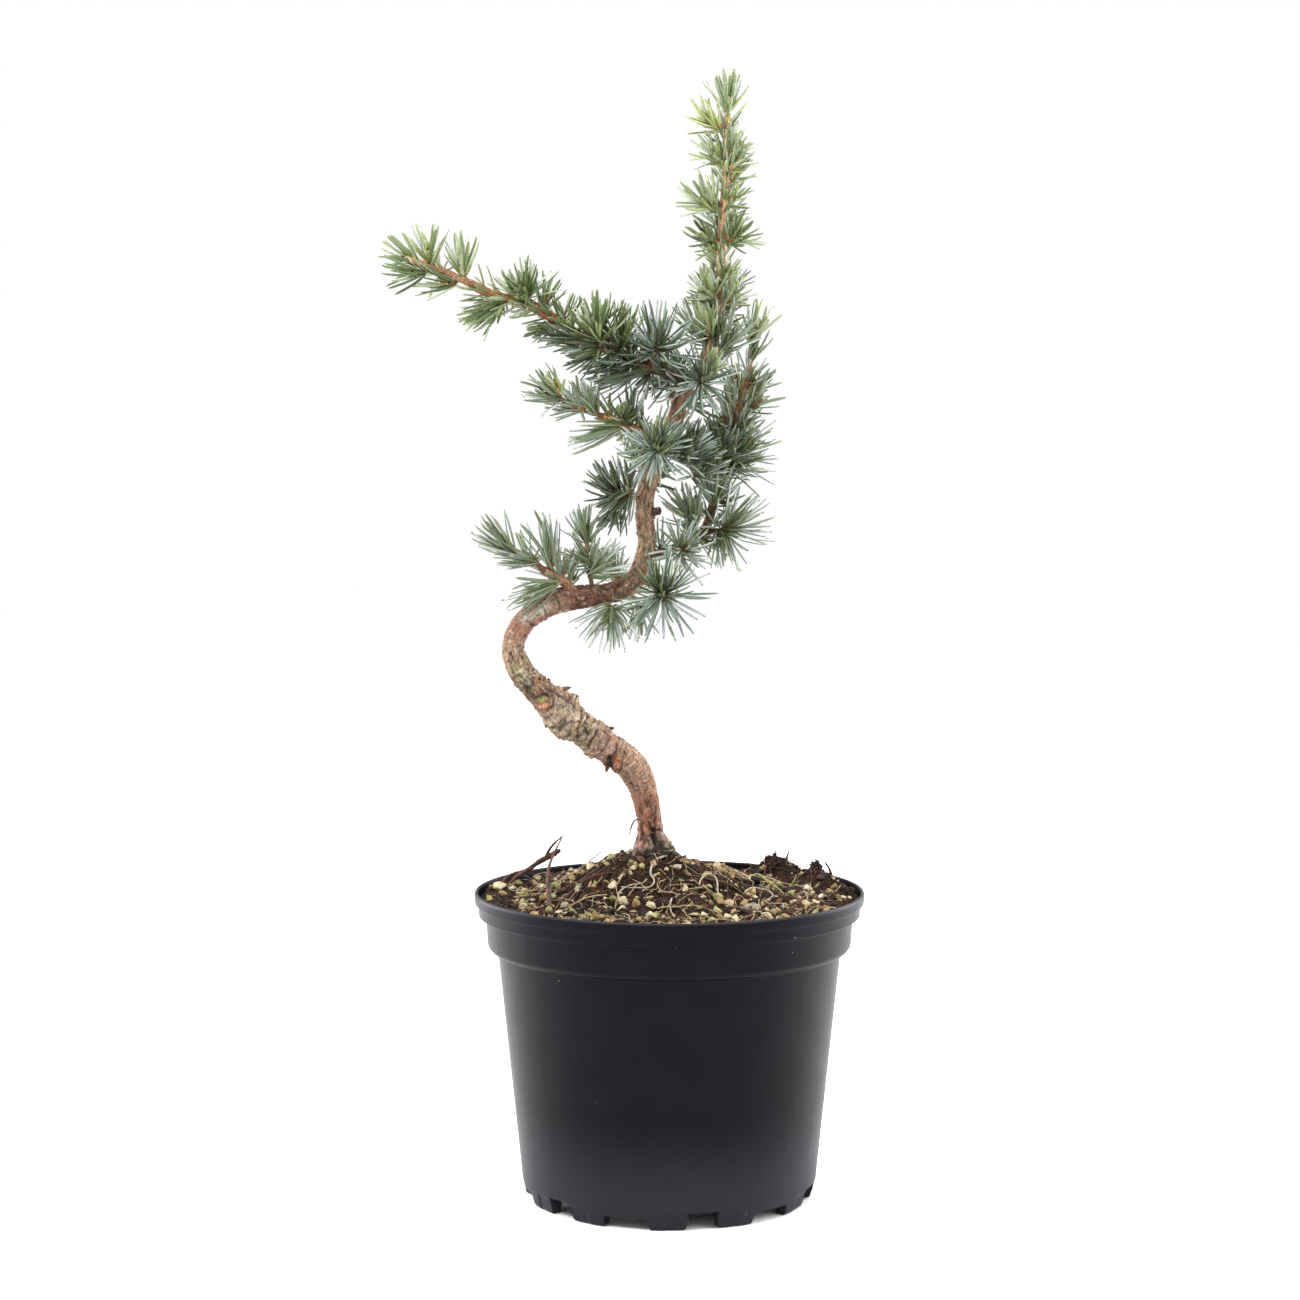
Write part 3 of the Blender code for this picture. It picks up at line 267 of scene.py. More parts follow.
            (-20, 25, 294, 0.5, 0.6, 0.3, 12, 11, 65), (-26, 42, 298, 0.2, 0.9, -0.1, 14, 12, 70),
            (-27, 38, 304, -0.3, 0.4, 0.8, 13, 11, 60),
        ),
    }),
)
# Single needles along the shoots: limb, first and last distance, number, needle, age
SHOOT_NEEDLES = (
    ("leader", 352, 392, 22, 13, "fresh"), ("leader", 392, 448, 42, 13, "fresh"),
    ("leader", 326, 352, 14, 15, "deep"), ("bough_left_upper", 48, 80, 30, 13, "deep"),
    ("bough_left_upper", 80, 112, 30, 13, "fresh"), ("bough_right_upper", 40, 84, 12, 14, "blue"),
    ("bough_left_middle", 14, 32, 12, 13, "deep"), ("bough_left_lower", 8, 20, 8, 15, "blue"),
)
# Small tufts on short spurs along the limbs: limb, first and last distance, number, needle, count, age
SPURS = (
    ("leader", 16, 44, 5, 14, 10, "blue"), ("leader", 44, 78, 6, 13, 9, "green"),
    ("leader", 78, 132, 7, 11, 8, "fresh"), ("bough_left_upper", 4, 46, 13, 15, 12, "steel"),
    ("bough_left_upper", 46, 104, 11, 13, 9, "deep"), ("bough_left_middle", 8, 34, 5, 13, 9, "deep"),
    ("bough_left_lower", 8, 20, 3, 15, 9, "blue"), ("bough_right_lower", 8, 34, 5, 15, 10, "blue"),
    ("bough_right_upper", 6, 40, 7, 15, 10, "blue"), ("bough_right_upper", 40, 88, 9, 14, 8, "blue"),
)
TWIG_RADIUS = 1.0 * MM
BUD_LENGTH = 5.5 * MM
Tuft = namedtuple("Tuft", "centre lean needle count spread age")
Mass = namedtuple("Mass", "limb at_tip fullness tufts")


# Curves and directions


class Curve:
    """A smooth centre line through control points, with a radius and a direction all along it."""

    def __init__(self, controls):
        controls = np.array(controls, float) * MM
        chord = np.linalg.norm(np.diff(controls[:, :3], axis=0), axis=1)
        at = np.concatenate([[0], np.cumsum(chord)])
        slopes = np.gradient(controls, at, axis=0)
        wanted = np.linspace(0, at[-1], max(4, round(at[-1] / CURVE_STEP)))
        piece = np.clip(np.searchsorted(at, wanted, side="right") - 1, 0, len(chord) - 1)
        span = chord[piece][:, None]
        u = ((wanted - at[piece]) / chord[piece])[:, None]
        rows = (
            (2 * u**3 - 3 * u**2 + 1) * controls[piece]
            + (u**3 - 2 * u**2 + u) * span * slopes[piece]
            + (3 * u**2 - 2 * u**3) * controls[piece + 1]
            + (u**3 - u**2) * span * slopes[piece + 1]
        )
        self.points = rows[:, :3]
        self.radii = rows[:, 3] / 2
        steps = np.linalg.norm(np.diff(self.points, axis=0), axis=1)
        self.along = np.concatenate([[0], np.cumsum(steps)])
        self.length = self.along[-1]
        tangents = np.gradient(self.points, self.along, axis=0)
        self.tangents = tangents / np.linalg.norm(tangents, axis=1)[:, None]

    def at(self, distance):
        """Point, direction and radius at a distance along the curve."""
        point = Vector([np.interp(distance, self.along, self.points[:, k]) for k in range(3)])
        tangent = Vector([np.interp(distance, self.along, self.tangents[:, k]) for k in range(3)])
        return point, tangent.normalized(), float(np.interp(distance, self.along, self.radii))

    def nearest(self, place):
        """Distance along the curve of its point that lies nearest to a place."""
        return self.along[np.argmin(np.linalg.norm(self.points - np.array(place), axis=1))]


def around(axis, turn):
    """The direction square to an axis at a turn about it."""
    side = axis.orthogonal().normalized()
    return side * math.cos(turn) + axis.cross(side) * math.sin(turn)


def square_to(axis, vector):
    """The part of a vector that lies square to an axis."""
    return vector - axis * vector.dot(axis)


def at_steps(start, end, step):
    """Distances from a start to an end, about a step apart."""
    count = max(2, round((end - start) / step))
    return [start + (end - start) * k / count for k in range(count + 1)]


def smooth_step(value, low, high):
    share = np.clip((value - low) / (high - low), 0, 1)
    return share * share * (3 - 2 * share)


# Colours and materials

# Share of a colour seen under the studio's light that is the material's own
OWN_SHARE = 0.56


def tint(red, green, blue):
    """A material's colour from the display values of 0 to 255 that it shows in the studio."""
    shares = (red / 255, green / 255, blue / 255)
    return tuple(OWN_SHARE * (c / 12.92 if c <= 0.04045 else ((c + 0.055) / 1.055) ** 2.4) for c in shares)


class Look:
    """A material under construction. Sizes are in metres."""

    def __init__(self, name, roughness, specular):
        self.material = bpy.data.materials.new(name)
        self.material.use_nodes = True
        self.tree = self.material.node_tree
        self.shader = self.tree.nodes["Principled BSDF"]
        self.set(self.shader, {"Roughness": roughness, "Specular IOR Level": specular, "Metallic": 0})
        self.place = None

    def set(self, node, values):
        """Values, colours or other nodes' outputs on the sockets of a node."""
        for socket, value in values.items():
            entry = node.inputs[socket]
            if isinstance(value, bpy.types.NodeSocket):
                self.tree.links.new(value, entry)
            else:
                entry.default_value = (*value, 1) if entry.type == "RGBA" else value

    def node(self, kind, values=(), **settings):
        made = self.tree.nodes.new("ShaderNode" + kind)
        for key, value in settings.items():
            setattr(made, key, value)
        self.set(made, dict(values))
        return made

    def where(self, stretch=(1, 1, 1)):
        """The place on the piece, stretched along the axes."""
        if self.place is None:
            self.place = self.node("TexCoord").outputs["Object"]
        if stretch == (1, 1, 1):
            return self.place
        return self.node("Mapping", {"Vector": self.place, "Scale": stretch}).outputs["Vector"]

    def noise(self, size, detail=3, stretch=(1, 1, 1), rough=0.55):
        """Noise with features of about a size."""
        values = {"Vector": self.where(stretch), "Scale": 1 / size, "Detail": detail, "Roughness": rough}
        return self.node("TexNoise", values).outputs["Fac"]

    def ramp(self, value, low, high, start=0.0, end=1.0):
        """A value remapped smoothly from one range to another, held at both ends."""
        values = {"Value": value, "From Min": low, "From Max": high, "To Min": start, "To Max": end}
        return self.node("MapRange", values, interpolation_type="SMOOTHSTEP").outputs["Result"]

    def times(self, first, second):
        return self.node("Math", {0: first, 1: second}, operation="MULTIPLY").outputs[0]

    def mix(self, share, first, second, blend="MIX"):
        """Two colours mixed."""
        values = {0: share, 6: first, 7: second}
        return self.node("Mix", values, data_type="RGBA", blend_type=blend).outputs[2]

    def colour(self, value):
        self.set(self.shader, {"Base Color": value})

    def toned(self, light):
        """The tones that lie on the mesh, lighter and darker by a value."""
        tone = self.node("Attribute", attribute_name="tone").outputs["Color"]
        grey = self.node("CombineColor", {0: light, 1: light, 2: light}).outputs[0]
        self.colour(self.mix(1.0, tone, grey, "MULTIPLY"))

    def bump(self, height, strength, distance):
        values = {"Height": height, "Strength": strength, "Distance": distance}
        self.set(self.shader, {"Normal": self.node("Bump", values).outputs["Normal"]})


def plain_look(name, colour, roughness, specular):
    look = Look(name, roughness, specular)
    look.colour(colour)
    return look.material


def mottled_look(name, colour, other, size, roughness, grain):
    """Two display colours in patches, with a fine grain in the relief."""
    look = Look(name, roughness, 0.3)
    patches = look.ramp(look.noise(size), 0.38, 0.62)
    look.colour(look.mix(patches, tint(*colour), tint(*other)))
    look.bump(look.noise(grain, 4), 0.5, grain / 3)
    return look.material


def pot_look():
    """Black plastic with scuffs and specks of dust; painted light makes it paler towards the foot and on
    the lip.
    """
    look = Look("pot_plastic", 0.45, 0.07)
    look.set(look.shader, {"Specular Tint": (0.94, 0.9, 1.0)})
    cloud = look.ramp(look.noise(0.02, 4), 0.3, 0.7)
    clean = look.mix(cloud, (0.0014, 0.0012, 0.0019), (0.0024, 0.0022, 0.0031))
    level = look.node("SeparateXYZ", {"Vector": look.where()}).outputs["Z"]
    # Painted light: paler towards the foot, as if lit from the floor below
    base = look.mix(look.ramp(level, 0.055, 0.008, 0.0, 0.7), clean, (0.022, 0.021, 0.025))
    # Painted highlight: a paler band along the top of the lip
    lip = look.ramp(level, POT_HEIGHT - 1.5 * MM, POT_HEIGHT - 0.2 * MM)
    base = look.mix(lip, base, (0.022, 0.0215, 0.024))
    specks = look.node("TexVoronoi", {"Vector": look.where(), "Scale": 1 / 0.011}).outputs["Distance"]
    dust = look.times(look.ramp(specks, 0.045, 0.02), look.ramp(look.noise(0.03, 2), 0.52, 0.6))
    scuffs = look.ramp(look.noise(0.004, 5, (1, 1, 7), 0.7), 0.66, 0.8, 0.0, 0.5)
    scuffs = look.times(scuffs, look.ramp(look.noise(0.035, 2), 0.5, 0.65))
    worn = look.mix(scuffs, base, tint(84, 86, 90))
    look.colour(look.mix(dust, worn, tint(130, 130, 126)))
    look.set(look.shader, {"Roughness": look.ramp(look.noise(0.012, 5), 0.3, 0.7, 0.39, 0.42)})
    look.bump(look.noise(0.0009, 3), 0.12, 0.00012)
    return look.material


def soil_look():
    """Compost whose colour lies on the mesh as tones, broken up into crumbs."""
    look = Look("compost", 0.95, 0.15)
    look.toned(look.ramp(look.noise(0.0013, 4), 0.35, 0.68, 0.35, 1.9))
    look.bump(look.noise(0.0008, 5), 0.9, 0.0006)
    return look.material


def bark_look(name, roughness, grain):
    """Bark whose colour lies on the mesh as tones, broken up by a fine grain."""
    look = Look(name, roughness, 0.3)
    look.toned(look.ramp(look.noise(grain, 4, (1, 1, 0.6)), 0.32, 0.7, 0.62, 1.34))
    look.bump(look.noise(grain * 0.7, 5), 0.6, grain / 3)
    return look.material


# Joined meshes


class Piece:
    """Corners, faces and materials gathered for one joined mesh."""

    def __init__(self, name, slot, smooth=True):
        self.name = name
        self.slot = slot
        self.smooth = smooth
        self.corners = []
        self.faces = []
        self.shades = []
        self.tones = []
        self.materials = []
        self.count = 0

    def add(self, corners, faces, material, tones=(1, 1, 1)):
        """Faces by the numbers of these corners, with a material and a tone for each, or one for all."""
        corners = np.asarray(corners, float).reshape(-1, 3)
        materials = material if isinstance(material, list) else [material] * len(faces)
        for each in dict.fromkeys(materials):
            if each not in self.materials:
                self.materials.append(each)
        self.shades += [self.materials.index(each) for each in materials]
        self.faces += (np.asarray(faces) + self.count).tolist()
        self.corners.append(corners)
        self.tones.append(np.broadcast_to(np.reshape(tones, (-1, 3)), corners.shape))
        self.count += len(corners)

    def finish(self, *replaced):
        """The joined mesh, in place of the nodes that it replaces."""
        mesh = bpy.data.meshes.new(self.name)
        mesh.from_pydata(np.concatenate(self.corners).tolist(), [], self.faces)
        for material in self.materials:
            mesh.materials.append(material)
        mesh.polygons.foreach_set("material_index", self.shades)
        mesh.polygons.foreach_set("use_smooth", [self.smooth] * len(mesh.polygons))
        tones = np.concatenate(self.tones)
        if (tones != 1).any():
            layer = mesh.attributes.new("tone", "FLOAT_COLOR", "POINT")
            layer.data.foreach_set("color", np.column_stack([tones, np.ones(len(tones))]).ravel())
        mesh.update()
        made = bpy.data.objects.new(self.name, mesh)
        bpy.context.scene.collection.objects.link(made)
        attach(made, "root")
        if replaced:
            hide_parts(*replaced)
        return made


def grid_faces(rows, columns, closed=True):
    """Four-sided faces of a grid of corners, joined round in its columns or open."""
    across = np.arange(columns if closed else columns - 1)
    row, column = np.meshgrid(np.arange(rows - 1) * columns, across, indexing="ij")
    after = (column + 1) % columns
    quads = (row + column, row + after, row + columns + after, row + columns + column)
    return np.stack(quads, axis=-1).reshape(-1, 4)


def turned(faces):
    """The same four-sided faces, facing the other way."""
    return faces[:, [0, 3, 2, 1]]


def rings_round(stations, sides):
    """Ring corners and outward directions of a tube through (point, direction, radius) stations."""
    side = stations[0][1].orthogonal().normalized()
    corners = np.zeros((len(stations), sides, 3))
    outward = np.zeros((len(stations), sides, 3))
    turn = 2 * np.pi * np.arange(sides) / sides
    for k, (point, direction, radius) in enumerate(stations):
        side = square_to(direction, side).normalized()
        across = direction.cross(side)
        outward[k] = np.cos(turn)[:, None] * np.array(side) + np.sin(turn)[:, None] * np.array(across)
        corners[k] = np.array(point) + outward[k] * radius
    return corners, outward


def add_tube(piece, stations, sides, material, tones=(1, 1, 1)):
    """A plain tube, closed at both ends by its narrow rings."""
    corners, _ = rings_round(stations, sides)
    piece.add(corners, grid_faces(len(stations), sides), material, tones)


def add_strand(piece, points, radii, material, sides=5):
    """A thin tube through points."""
    stations = []
    for k, point in enumerate(points):
        before, after = points[max(0, k - 1)], points[min(len(points) - 1, k + 1)]
        stations.append((point, (after - before).normalized(), radii[k]))
    add_tube(piece, stations, sides, material)


# Pot

POT_COLUMNS = 720
POT_FILLET = 0.9 * MM
POT_SHARP = math.radians(38)
PANEL_WIDTH = 10.5 * MM
PANEL_DEPTH = 0.55 * MM
PANEL_TOP = 8.4 * MM
PANEL_EDGE = 0.9 * MM
SLOT_CORNER = 2.6 * MM
GAP_CORNER = 1.4 * MM
FOOT_ROUNDING = 1.4 * MM
FOOT_TUCK = 1.2 * MM
WALL_START = 9.5 * MM


def rounded(profile, radius):
    """The same line with its corners rounded off."""
    points = [np.array(profile[0], float)]
    for before, corner, after in zip(profile, profile[1:], profile[2:]):
        before, corner, after = (np.array(p, float) for p in (before, corner, after))
        to_before, to_after = before - corner, after - corner
        cut = min(radius, np.linalg.norm(to_before) * 0.45, np.linalg.norm(to_after) * 0.45)
        first = corner + to_before / np.linalg.norm(to_before) * cut
        last = corner + to_after / np.linalg.norm(to_after) * cut
        for u in (0, 0.25, 0.5, 0.75, 1):
            points.append(first * (1 - u) ** 2 + corner * 2 * u * (1 - u) + last * u**2)
    points.append(np.array(profile[-1], float))
    return points


def hem_height(angle):
    """Height of the pot's lower edge at an angle, and how far its foot panel is set in there."""
    local = (angle - FIRST_SLOT) % PATTERN_ANGLE
    from_slot = min(local, PATTERN_ANGLE - local)
    into_foot = (from_slot - SLOT_ANGLE / 2) * FOOT_OUTER
    to_gap = (PATTERN_ANGLE / 2 - PLAIN_GAP_ANGLE / 2 - from_slot) * FOOT_OUTER
    if into_foot < 0:
        return SLOT_TOP, 0
    if to_gap < 0:
        return PLAIN_GAP_TOP, 0
    height = 0
    for edge, corner in ((into_foot, SLOT_CORNER), (to_gap, GAP_CORNER)):
        if edge < corner:
            height = max(height, corner - math.sqrt(corner**2 - (corner - edge) ** 2))
    set_in = PANEL_DEPTH * smooth_step(PANEL_WIDTH - into_foot, 0, PANEL_EDGE)
    return height, float(set_in)


def make_pot():
    """Pot with filleted lip, band and collar, and feet with rounded corners and set-in panels."""
    upper = rounded([
        (WALL_FOOT_RADIUS + 0.3 * MM, WALL_START),
        (WALL_TOP_RADIUS, COLLAR_BOTTOM - 0.8 * MM),
        (COLLAR_FOOT_RADIUS - 1.6 * MM, COLLAR_BOTTOM),
        (COLLAR_FOOT_RADIUS, COLLAR_BOTTOM + 2.2 * MM),
        (COLLAR_RADIUS, BAND_BOTTOM - 0.3 * MM),
        (BAND_RADIUS - 0.2 * MM, BAND_BOTTOM + 0.5 * MM),
        (BAND_RADIUS, LIP_BOTTOM),
        (LIP_RADIUS - 0.3 * MM, LIP_BOTTOM + 0.5 * MM),
        (LIP_RADIUS, POT_HEIGHT - 1.2 * MM),
        (LIP_RADIUS - 0.5 * MM, POT_HEIGHT),
        (LIP_RADIUS - WALL - 0.3 * MM, POT_HEIGHT - 0.1 * MM),
        (LIP_RADIUS - WALL - 0.6 * MM, LIP_BOTTOM + 1.4 * MM),
        (BAND_RADIUS - WALL, LIP_BOTTOM + 0.8 * MM),
        (COLLAR_RADIUS - WALL, BAND_BOTTOM),
        (COLLAR_FOOT_RADIUS - WALL - 4 * MM, COLLAR_BOTTOM),
    ], POT_FILLET)
    slope = (WALL_FOOT_RADIUS + 0.3 * MM - FOOT_OUTER - FOOT_TUCK) / (8.1 * MM)
    rows = []
    for column in range(POT_COLUMNS):
        angle = 2 * math.pi * column / POT_COLUMNS
        hem, set_in = hem_height(angle)

        def skin(height):
            """Outer radius of the foot ring at a height."""
            radius = FOOT_OUTER + FOOT_TUCK + slope * (height - FOOT_ROUNDING)
            if height < FOOT_ROUNDING:
                radius -= FOOT_TUCK * (1 - height / FOOT_ROUNDING) ** 2
            return radius - set_in * float(smooth_step(PANEL_TOP - height, 0, PANEL_EDGE))

        profile = [
            (0, 0), (PAD_RADIUS - 0.8 * MM, 0), (PAD_RADIUS, 0.8 * MM), (PAD_RADIUS, FLOOR_UNDERSIDE),
            (FOOT_INNER, FLOOR_UNDERSIDE), (FOOT_INNER, hem + 0.5 * MM), (FOOT_INNER + 0.5 * MM, hem),
            (skin(hem) - 0.7 * MM, hem),
        ]
        for k in range(9):
            height = hem + 0.25 * MM + (9.3 * MM - hem - 0.25 * MM) * k / 8
            profile.append((skin(height), height))
        profile += upper
        rows.append([(r * math.sin(angle), -r * math.cos(angle), z) for r, z in profile])
    depth = len(rows[0])
    faces = turned(grid_faces(POT_COLUMNS + 1, depth, closed=False)) % (POT_COLUMNS * depth)
    pot = Piece("pot_shell", "pot")
    pot.add(rows, faces, pot_look())
    pot.finish("pot").data.set_sharp_from_angle(angle=POT_SHARP)


# Soil

# Clumps that stand up at the rim, dips and heaps: (x, y, height, reach)
CLUMPS = (
    (53, 58, 10.5, 6), (73, 37, 10.2, 6), (64, 48, 7, 6), (59, 54, 6, 4), (79, 28, 5.5, 6), (45, 62, 4, 6),
    (-63, 58, 2.5, 8), (-83, 20, 3, 7), (84, 10, 2.5, 8), (-15, 0.5, 2.2, 4), (-8, -2, 2.2, 4),
    (0, 1, 2.2, 3.5), (12, 14, -3, 7), (24, 20, -3.5, 11), (14, 30, -3, 10), (34, 30, -2, 10),
    (-35, 16, -3, 10), (-24, 18, -2, 6), (30, -20, 2, 12), (-25, -42, -1.5, 10), (45, -45, 1.5, 10),
    (30, 40, 2, 14), (50, 25, 2, 10),
)
# Clumps above this height are heaps of dark crumbs and fibres
HEAP_HEIGHT = 2
SOIL_LIFT = 1.4 * MM
SOIL_RINGS = 120
SOIL_COLUMNS = 380


def ground(x, y):
    """Height of the finished soil surface."""
    from_trunk = math.hypot(x - TRUNK_FOOT[0], y - TRUNK_FOOT[1])
    share = min(1, max(0, (from_trunk - SEAT_RADIUS) / MOUND_REACH))
    mound = ((1 + math.cos(math.pi * share)) / 2) ** MOUND_STEEPNESS
    height = SOIL_AT_WALL + SOIL_LIFT + (TRUNK_FOOT[2] - SOIL_AT_WALL - 1.2 * MM) * mound
    place = Vector((x, y, 0)) / MM
    height += 2.6 * MM * noise.fractal(place / 11 + Vector((3.1, 0, 0)), 0.8, 2.1, 3)
    height += 1.2 * MM * noise.fractal(place / 2.4, 0.8, 2.0, 3)
    for cx, cy, lift, reach in CLUMPS:
        away = math.hypot(x / MM - cx, y / MM - cy) / reach
        if away < 2.5:
            height += lift * MM * math.exp(-(away**2))
    return height


def make_soil():
    """Compost as a rough disc that fills the pot, in dark and light patches, with a painted-shade skirt at
    its edge.
    """
    edge = BAND_RADIUS - WALL - 0.5 * MM
    corners = np.zeros((SOIL_RINGS, SOIL_COLUMNS, 3))
    tones = np.zeros((SOIL_RINGS, SOIL_COLUMNS, 3))
    dark, light = np.array(tint(20, 12, 8)), np.array(tint(84, 56, 36))
    for ring in range(SOIL_RINGS):
        radius = edge * (1 - ring / (SOIL_RINGS - 1)) + 0.3 * MM
        for column in range(SOIL_COLUMNS):
            angle = 2 * math.pi * column / SOIL_COLUMNS
            x, y = radius * math.cos(angle), radius * math.sin(angle)
            corners[ring, column] = (x, y, ground(x, y))
            patch = noise.fractal(Vector((x, y, 0.02)) / (3.5 * MM), 0.8, 2.0, 3)
            share = min(1, max(0, 0.32 + 0.55 * patch))
            tones[ring, column] = dark * (1 - share) + light * share
    skirt = corners[:1].copy()
    skirt[..., :2] *= (COLLAR_FOOT_RADIUS - WALL - 3 * MM) / edge
    skirt[..., 2] -= 10 * MM
    soil = Piece("compost_surface", "soil")
    all_corners = np.concatenate([skirt, corners])
    # The skirt down the gap by the wall is painted at half the tone, as painted shade
    all_tones = np.concatenate([tones[:1] * 0.5, tones])
    soil.add(all_corners, grid_faces(SOIL_RINGS + 1, SOIL_COLUMNS), soil_look(), all_tones)
    soil.finish("soil")


def in_disc(rng, reach):
    """A random place within a distance of the pot's axis."""
    radius, angle = reach * math.sqrt(rng.random()), rng.uniform(0, 2 * math.pi)
    return radius * math.cos(angle), radius * math.sin(angle)


def on_heaps(rng, number, spread, edge):
    """Random places on the soil's heaps, within an edge."""
    for cx, cy, lift, reach in CLUMPS:
        for _ in range(number if lift > HEAP_HEIGHT else 0):
            x, y = rng.gauss(cx, reach * spread) * MM, rng.gauss(cy, reach * spread) * MM
            if math.hypot(x, y) < edge:
                yield x, y


def unit_ball(splits):
    """Corners and triangles of an even unit ball."""
    golden = (1 + 5**0.5) / 2
    corners = [
        (-1, golden, 0), (1, golden, 0), (-1, -golden, 0), (1, -golden, 0),
        (0, -1, golden), (0, 1, golden), (0, -1, -golden), (0, 1, -golden),
        (golden, 0, -1), (golden, 0, 1), (-golden, 0, -1), (-golden, 0, 1),
    ]
    faces = [
        (0, 11, 5), (0, 5, 1), (0, 1, 7), (0, 7, 10), (0, 10, 11), (1, 5, 9), (5, 11, 4), (11, 10, 2),
        (10, 7, 6), (7, 1, 8), (3, 9, 4), (3, 4, 2), (3, 2, 6), (3, 6, 8), (3, 8, 9), (4, 9, 5),
        (2, 4, 11), (6, 2, 10), (8, 6, 7), (9, 8, 1),
    ]
    corners = [Vector(c).normalized() for c in corners]
    for _ in range(splits):
        middles = {}
        finer = []
        for a, b, c in faces:
            between = []
            for pair in ((a, b), (b, c), (c, a)):
                key = tuple(sorted(pair))
                if key not in middles:
                    middles[key] = len(corners)
                    corners.append(((corners[key[0]] + corners[key[1]]) / 2).normalized())
                between.append(middles[key])
            ab, bc, ca = between
            finer += [(a, ab, ca), (b, bc, ab), (c, ca, bc), (ab, bc, ca)]
        faces = finer
    return np.array([tuple(c) for c in corners]), np.array(faces)


# Grit and pebbles: colour, other colour, share of all
GRIT = (
    ("cream", (232, 218, 184), (196, 178, 136), 0.22), ("tan", (200, 170, 122), (154, 124, 84), 0.2),
    ("ochre", (178, 152, 100), (130, 110, 66), 0.13), ("olive", (184, 182, 124), (134, 134, 80), 0.14),
    ("grey", (186, 174, 150), (134, 122, 100), 0.08), ("rust", (132, 92, 60), (92, 62, 42), 0.08),
    ("crumb", (58, 40, 30), (34, 23, 17), 0.12),
)
# Pebbles seen one by one: (x, y, size, colour number)
BIG_GRIT = (
    (-39, 22, 7.5, 0), (-57, 30, 5, 3), (-13, -10, 5.5, 3), (-18, -6, 5, 0), (-36, -20, 4.5, 1),
    (-37, -40, 4.5, 3), (-29, -47, 4, 3), (-46, -50, 6.5, 3), (-9, -55, 6, 0), (6, -60, 5.5, 1),
    (28, -37, 5.5, 0), (40, -33, 5, 0), (45, -30, 4.5, 0), (70, 16, 6, 0), (76, 18, 5, 1), (24, 4, 5, 0),
    (-54, -2, 5, 3), (-78, 20, 5, 0), (-16, -40, 5.5, 2), (-30, -18, 4, 1), (12, -30, 4.5, 5),
    (-66, -20, 5, 0), (-70, -2, 5, 3), (60, -20, 4.5, 0), (52, 12, 4.5, 3), (33, 14, 5, 1),
    (-48, 8, 5.5, 1), (-62, 12, 4.5, 0),
)
STONES = 900
STONE_SIZES = (0.8, 1.1, 1.4, 1.7, 2.1, 2.5, 2.9)
STONES_WITHIN = 90 * MM
CLEAR_OF_TRUNK = 13 * MM
# Half the size above which a stone is made of more faces
FINE_STONE = 2 * MM
# Least and most stretch of a stone along its three axes
FLAT_STONE = ((1.4, 2.3), (0.5, 0.8), (0.28, 0.42))
ROUND_STONE = ((0.95, 1.6), (0.65, 1.0), (0.5, 0.85))
STONE_CUTS = 12
STONE_SHARP = math.radians(34)


def make_grit():
    """Pebbles half sunk in the compost, cut by a few flat faces each."""
    rng = random.Random(f"{SEED} grit")
    looks = [mottled_look(f"grit_{name}", *colours, 0.0022, 0.85, 0.0006) for name, *colours, _ in GRIT]
    shares = [share for *_, share in GRIT]
    stones = [(x * MM, y * MM, size * MM / 2, looks[number]) for x, y, size, number in BIG_GRIT]
    while len(stones) < STONES:
        x, y = in_disc(rng, STONES_WITHIN)
        if math.hypot(x - TRUNK_FOOT[0], y - TRUNK_FOOT[1]) < CLEAR_OF_TRUNK:
            continue
        if noise.noise(Vector((x, y, 0.5)) / (16 * MM)) < rng.uniform(-0.9, 0.15):
            continue
        size = rng.choice(STONE_SIZES) * MM * rng.uniform(0.85, 1.15)
        stones.append((x, y, size, rng.choices(looks, shares)[0]))
    for x, y in on_heaps(rng, 26, 0.5, 88 * MM):
        stones.append((x, y, rng.uniform(0.8, 2.0) * MM, looks[-1]))
    balls = (unit_ball(1), unit_ball(2))
    grit = Piece("grit", "soil")
    for x, y, size, look in stones:
        ball, faces = balls[size > FINE_STONE]
        kind = FLAT_STONE if rng.random() < 0.4 else ROUND_STONE
        shape = ball * np.array([rng.uniform(*limits) for limits in kind])
        for _ in range(STONE_CUTS):
            flat = Vector((rng.gauss(0, 1), rng.gauss(0, 1), rng.gauss(0, 1))).normalized()
            over = np.maximum(shape @ np.array(flat) - rng.uniform(0.4, 0.8), 0)
            shape = shape - over[:, None] * 0.9 * np.array(flat)
        shift = Vector((rng.random(), rng.random(), rng.random())) * 50
        swell = np.array([noise.noise(Vector(corner) * 1.5 + shift) for corner in shape])
        shape = shape * (1 + 0.24 * swell[:, None]) * size
        tilted = Vector((rng.gauss(0, 0.5), rng.gauss(0, 0.5), 1))
        tilt = np.array(UP.rotation_difference(tilted).to_matrix())
        spin = rng.uniform(0, 2 * math.pi)
        cos, sin = math.cos(spin), math.sin(spin)
        turn = np.array([[cos, -sin, 0], [sin, cos, 0], [0, 0, 1]])
        sunk = rng.uniform(-0.2, 0.5)
        grit.add(shape @ (tilt @ turn).T + (x, y, ground(x, y) + size * sunk), faces, look)
    grit.finish().data.set_sharp_from_angle(angle=STONE_SHARP)


# Roots, straws and twigs that lie on the soil: colour, number, thinnest and thickest diameter,
# shortest and longest length
FIBRES = (
    ("dark", (46, 31, 24), 360, 0.35, 1.1, 5, 22), ("brown", (110, 78, 56), 220, 0.35, 0.9, 6, 26),
    ("straw", (206, 178, 134), 210, 0.4, 0.9, 7, 28), ("russet", (120, 74, 60), 40, 0.35, 0.8, 8, 22),
    ("pale", (208, 198, 170), 34, 0.4, 0.8, 8, 24),
)
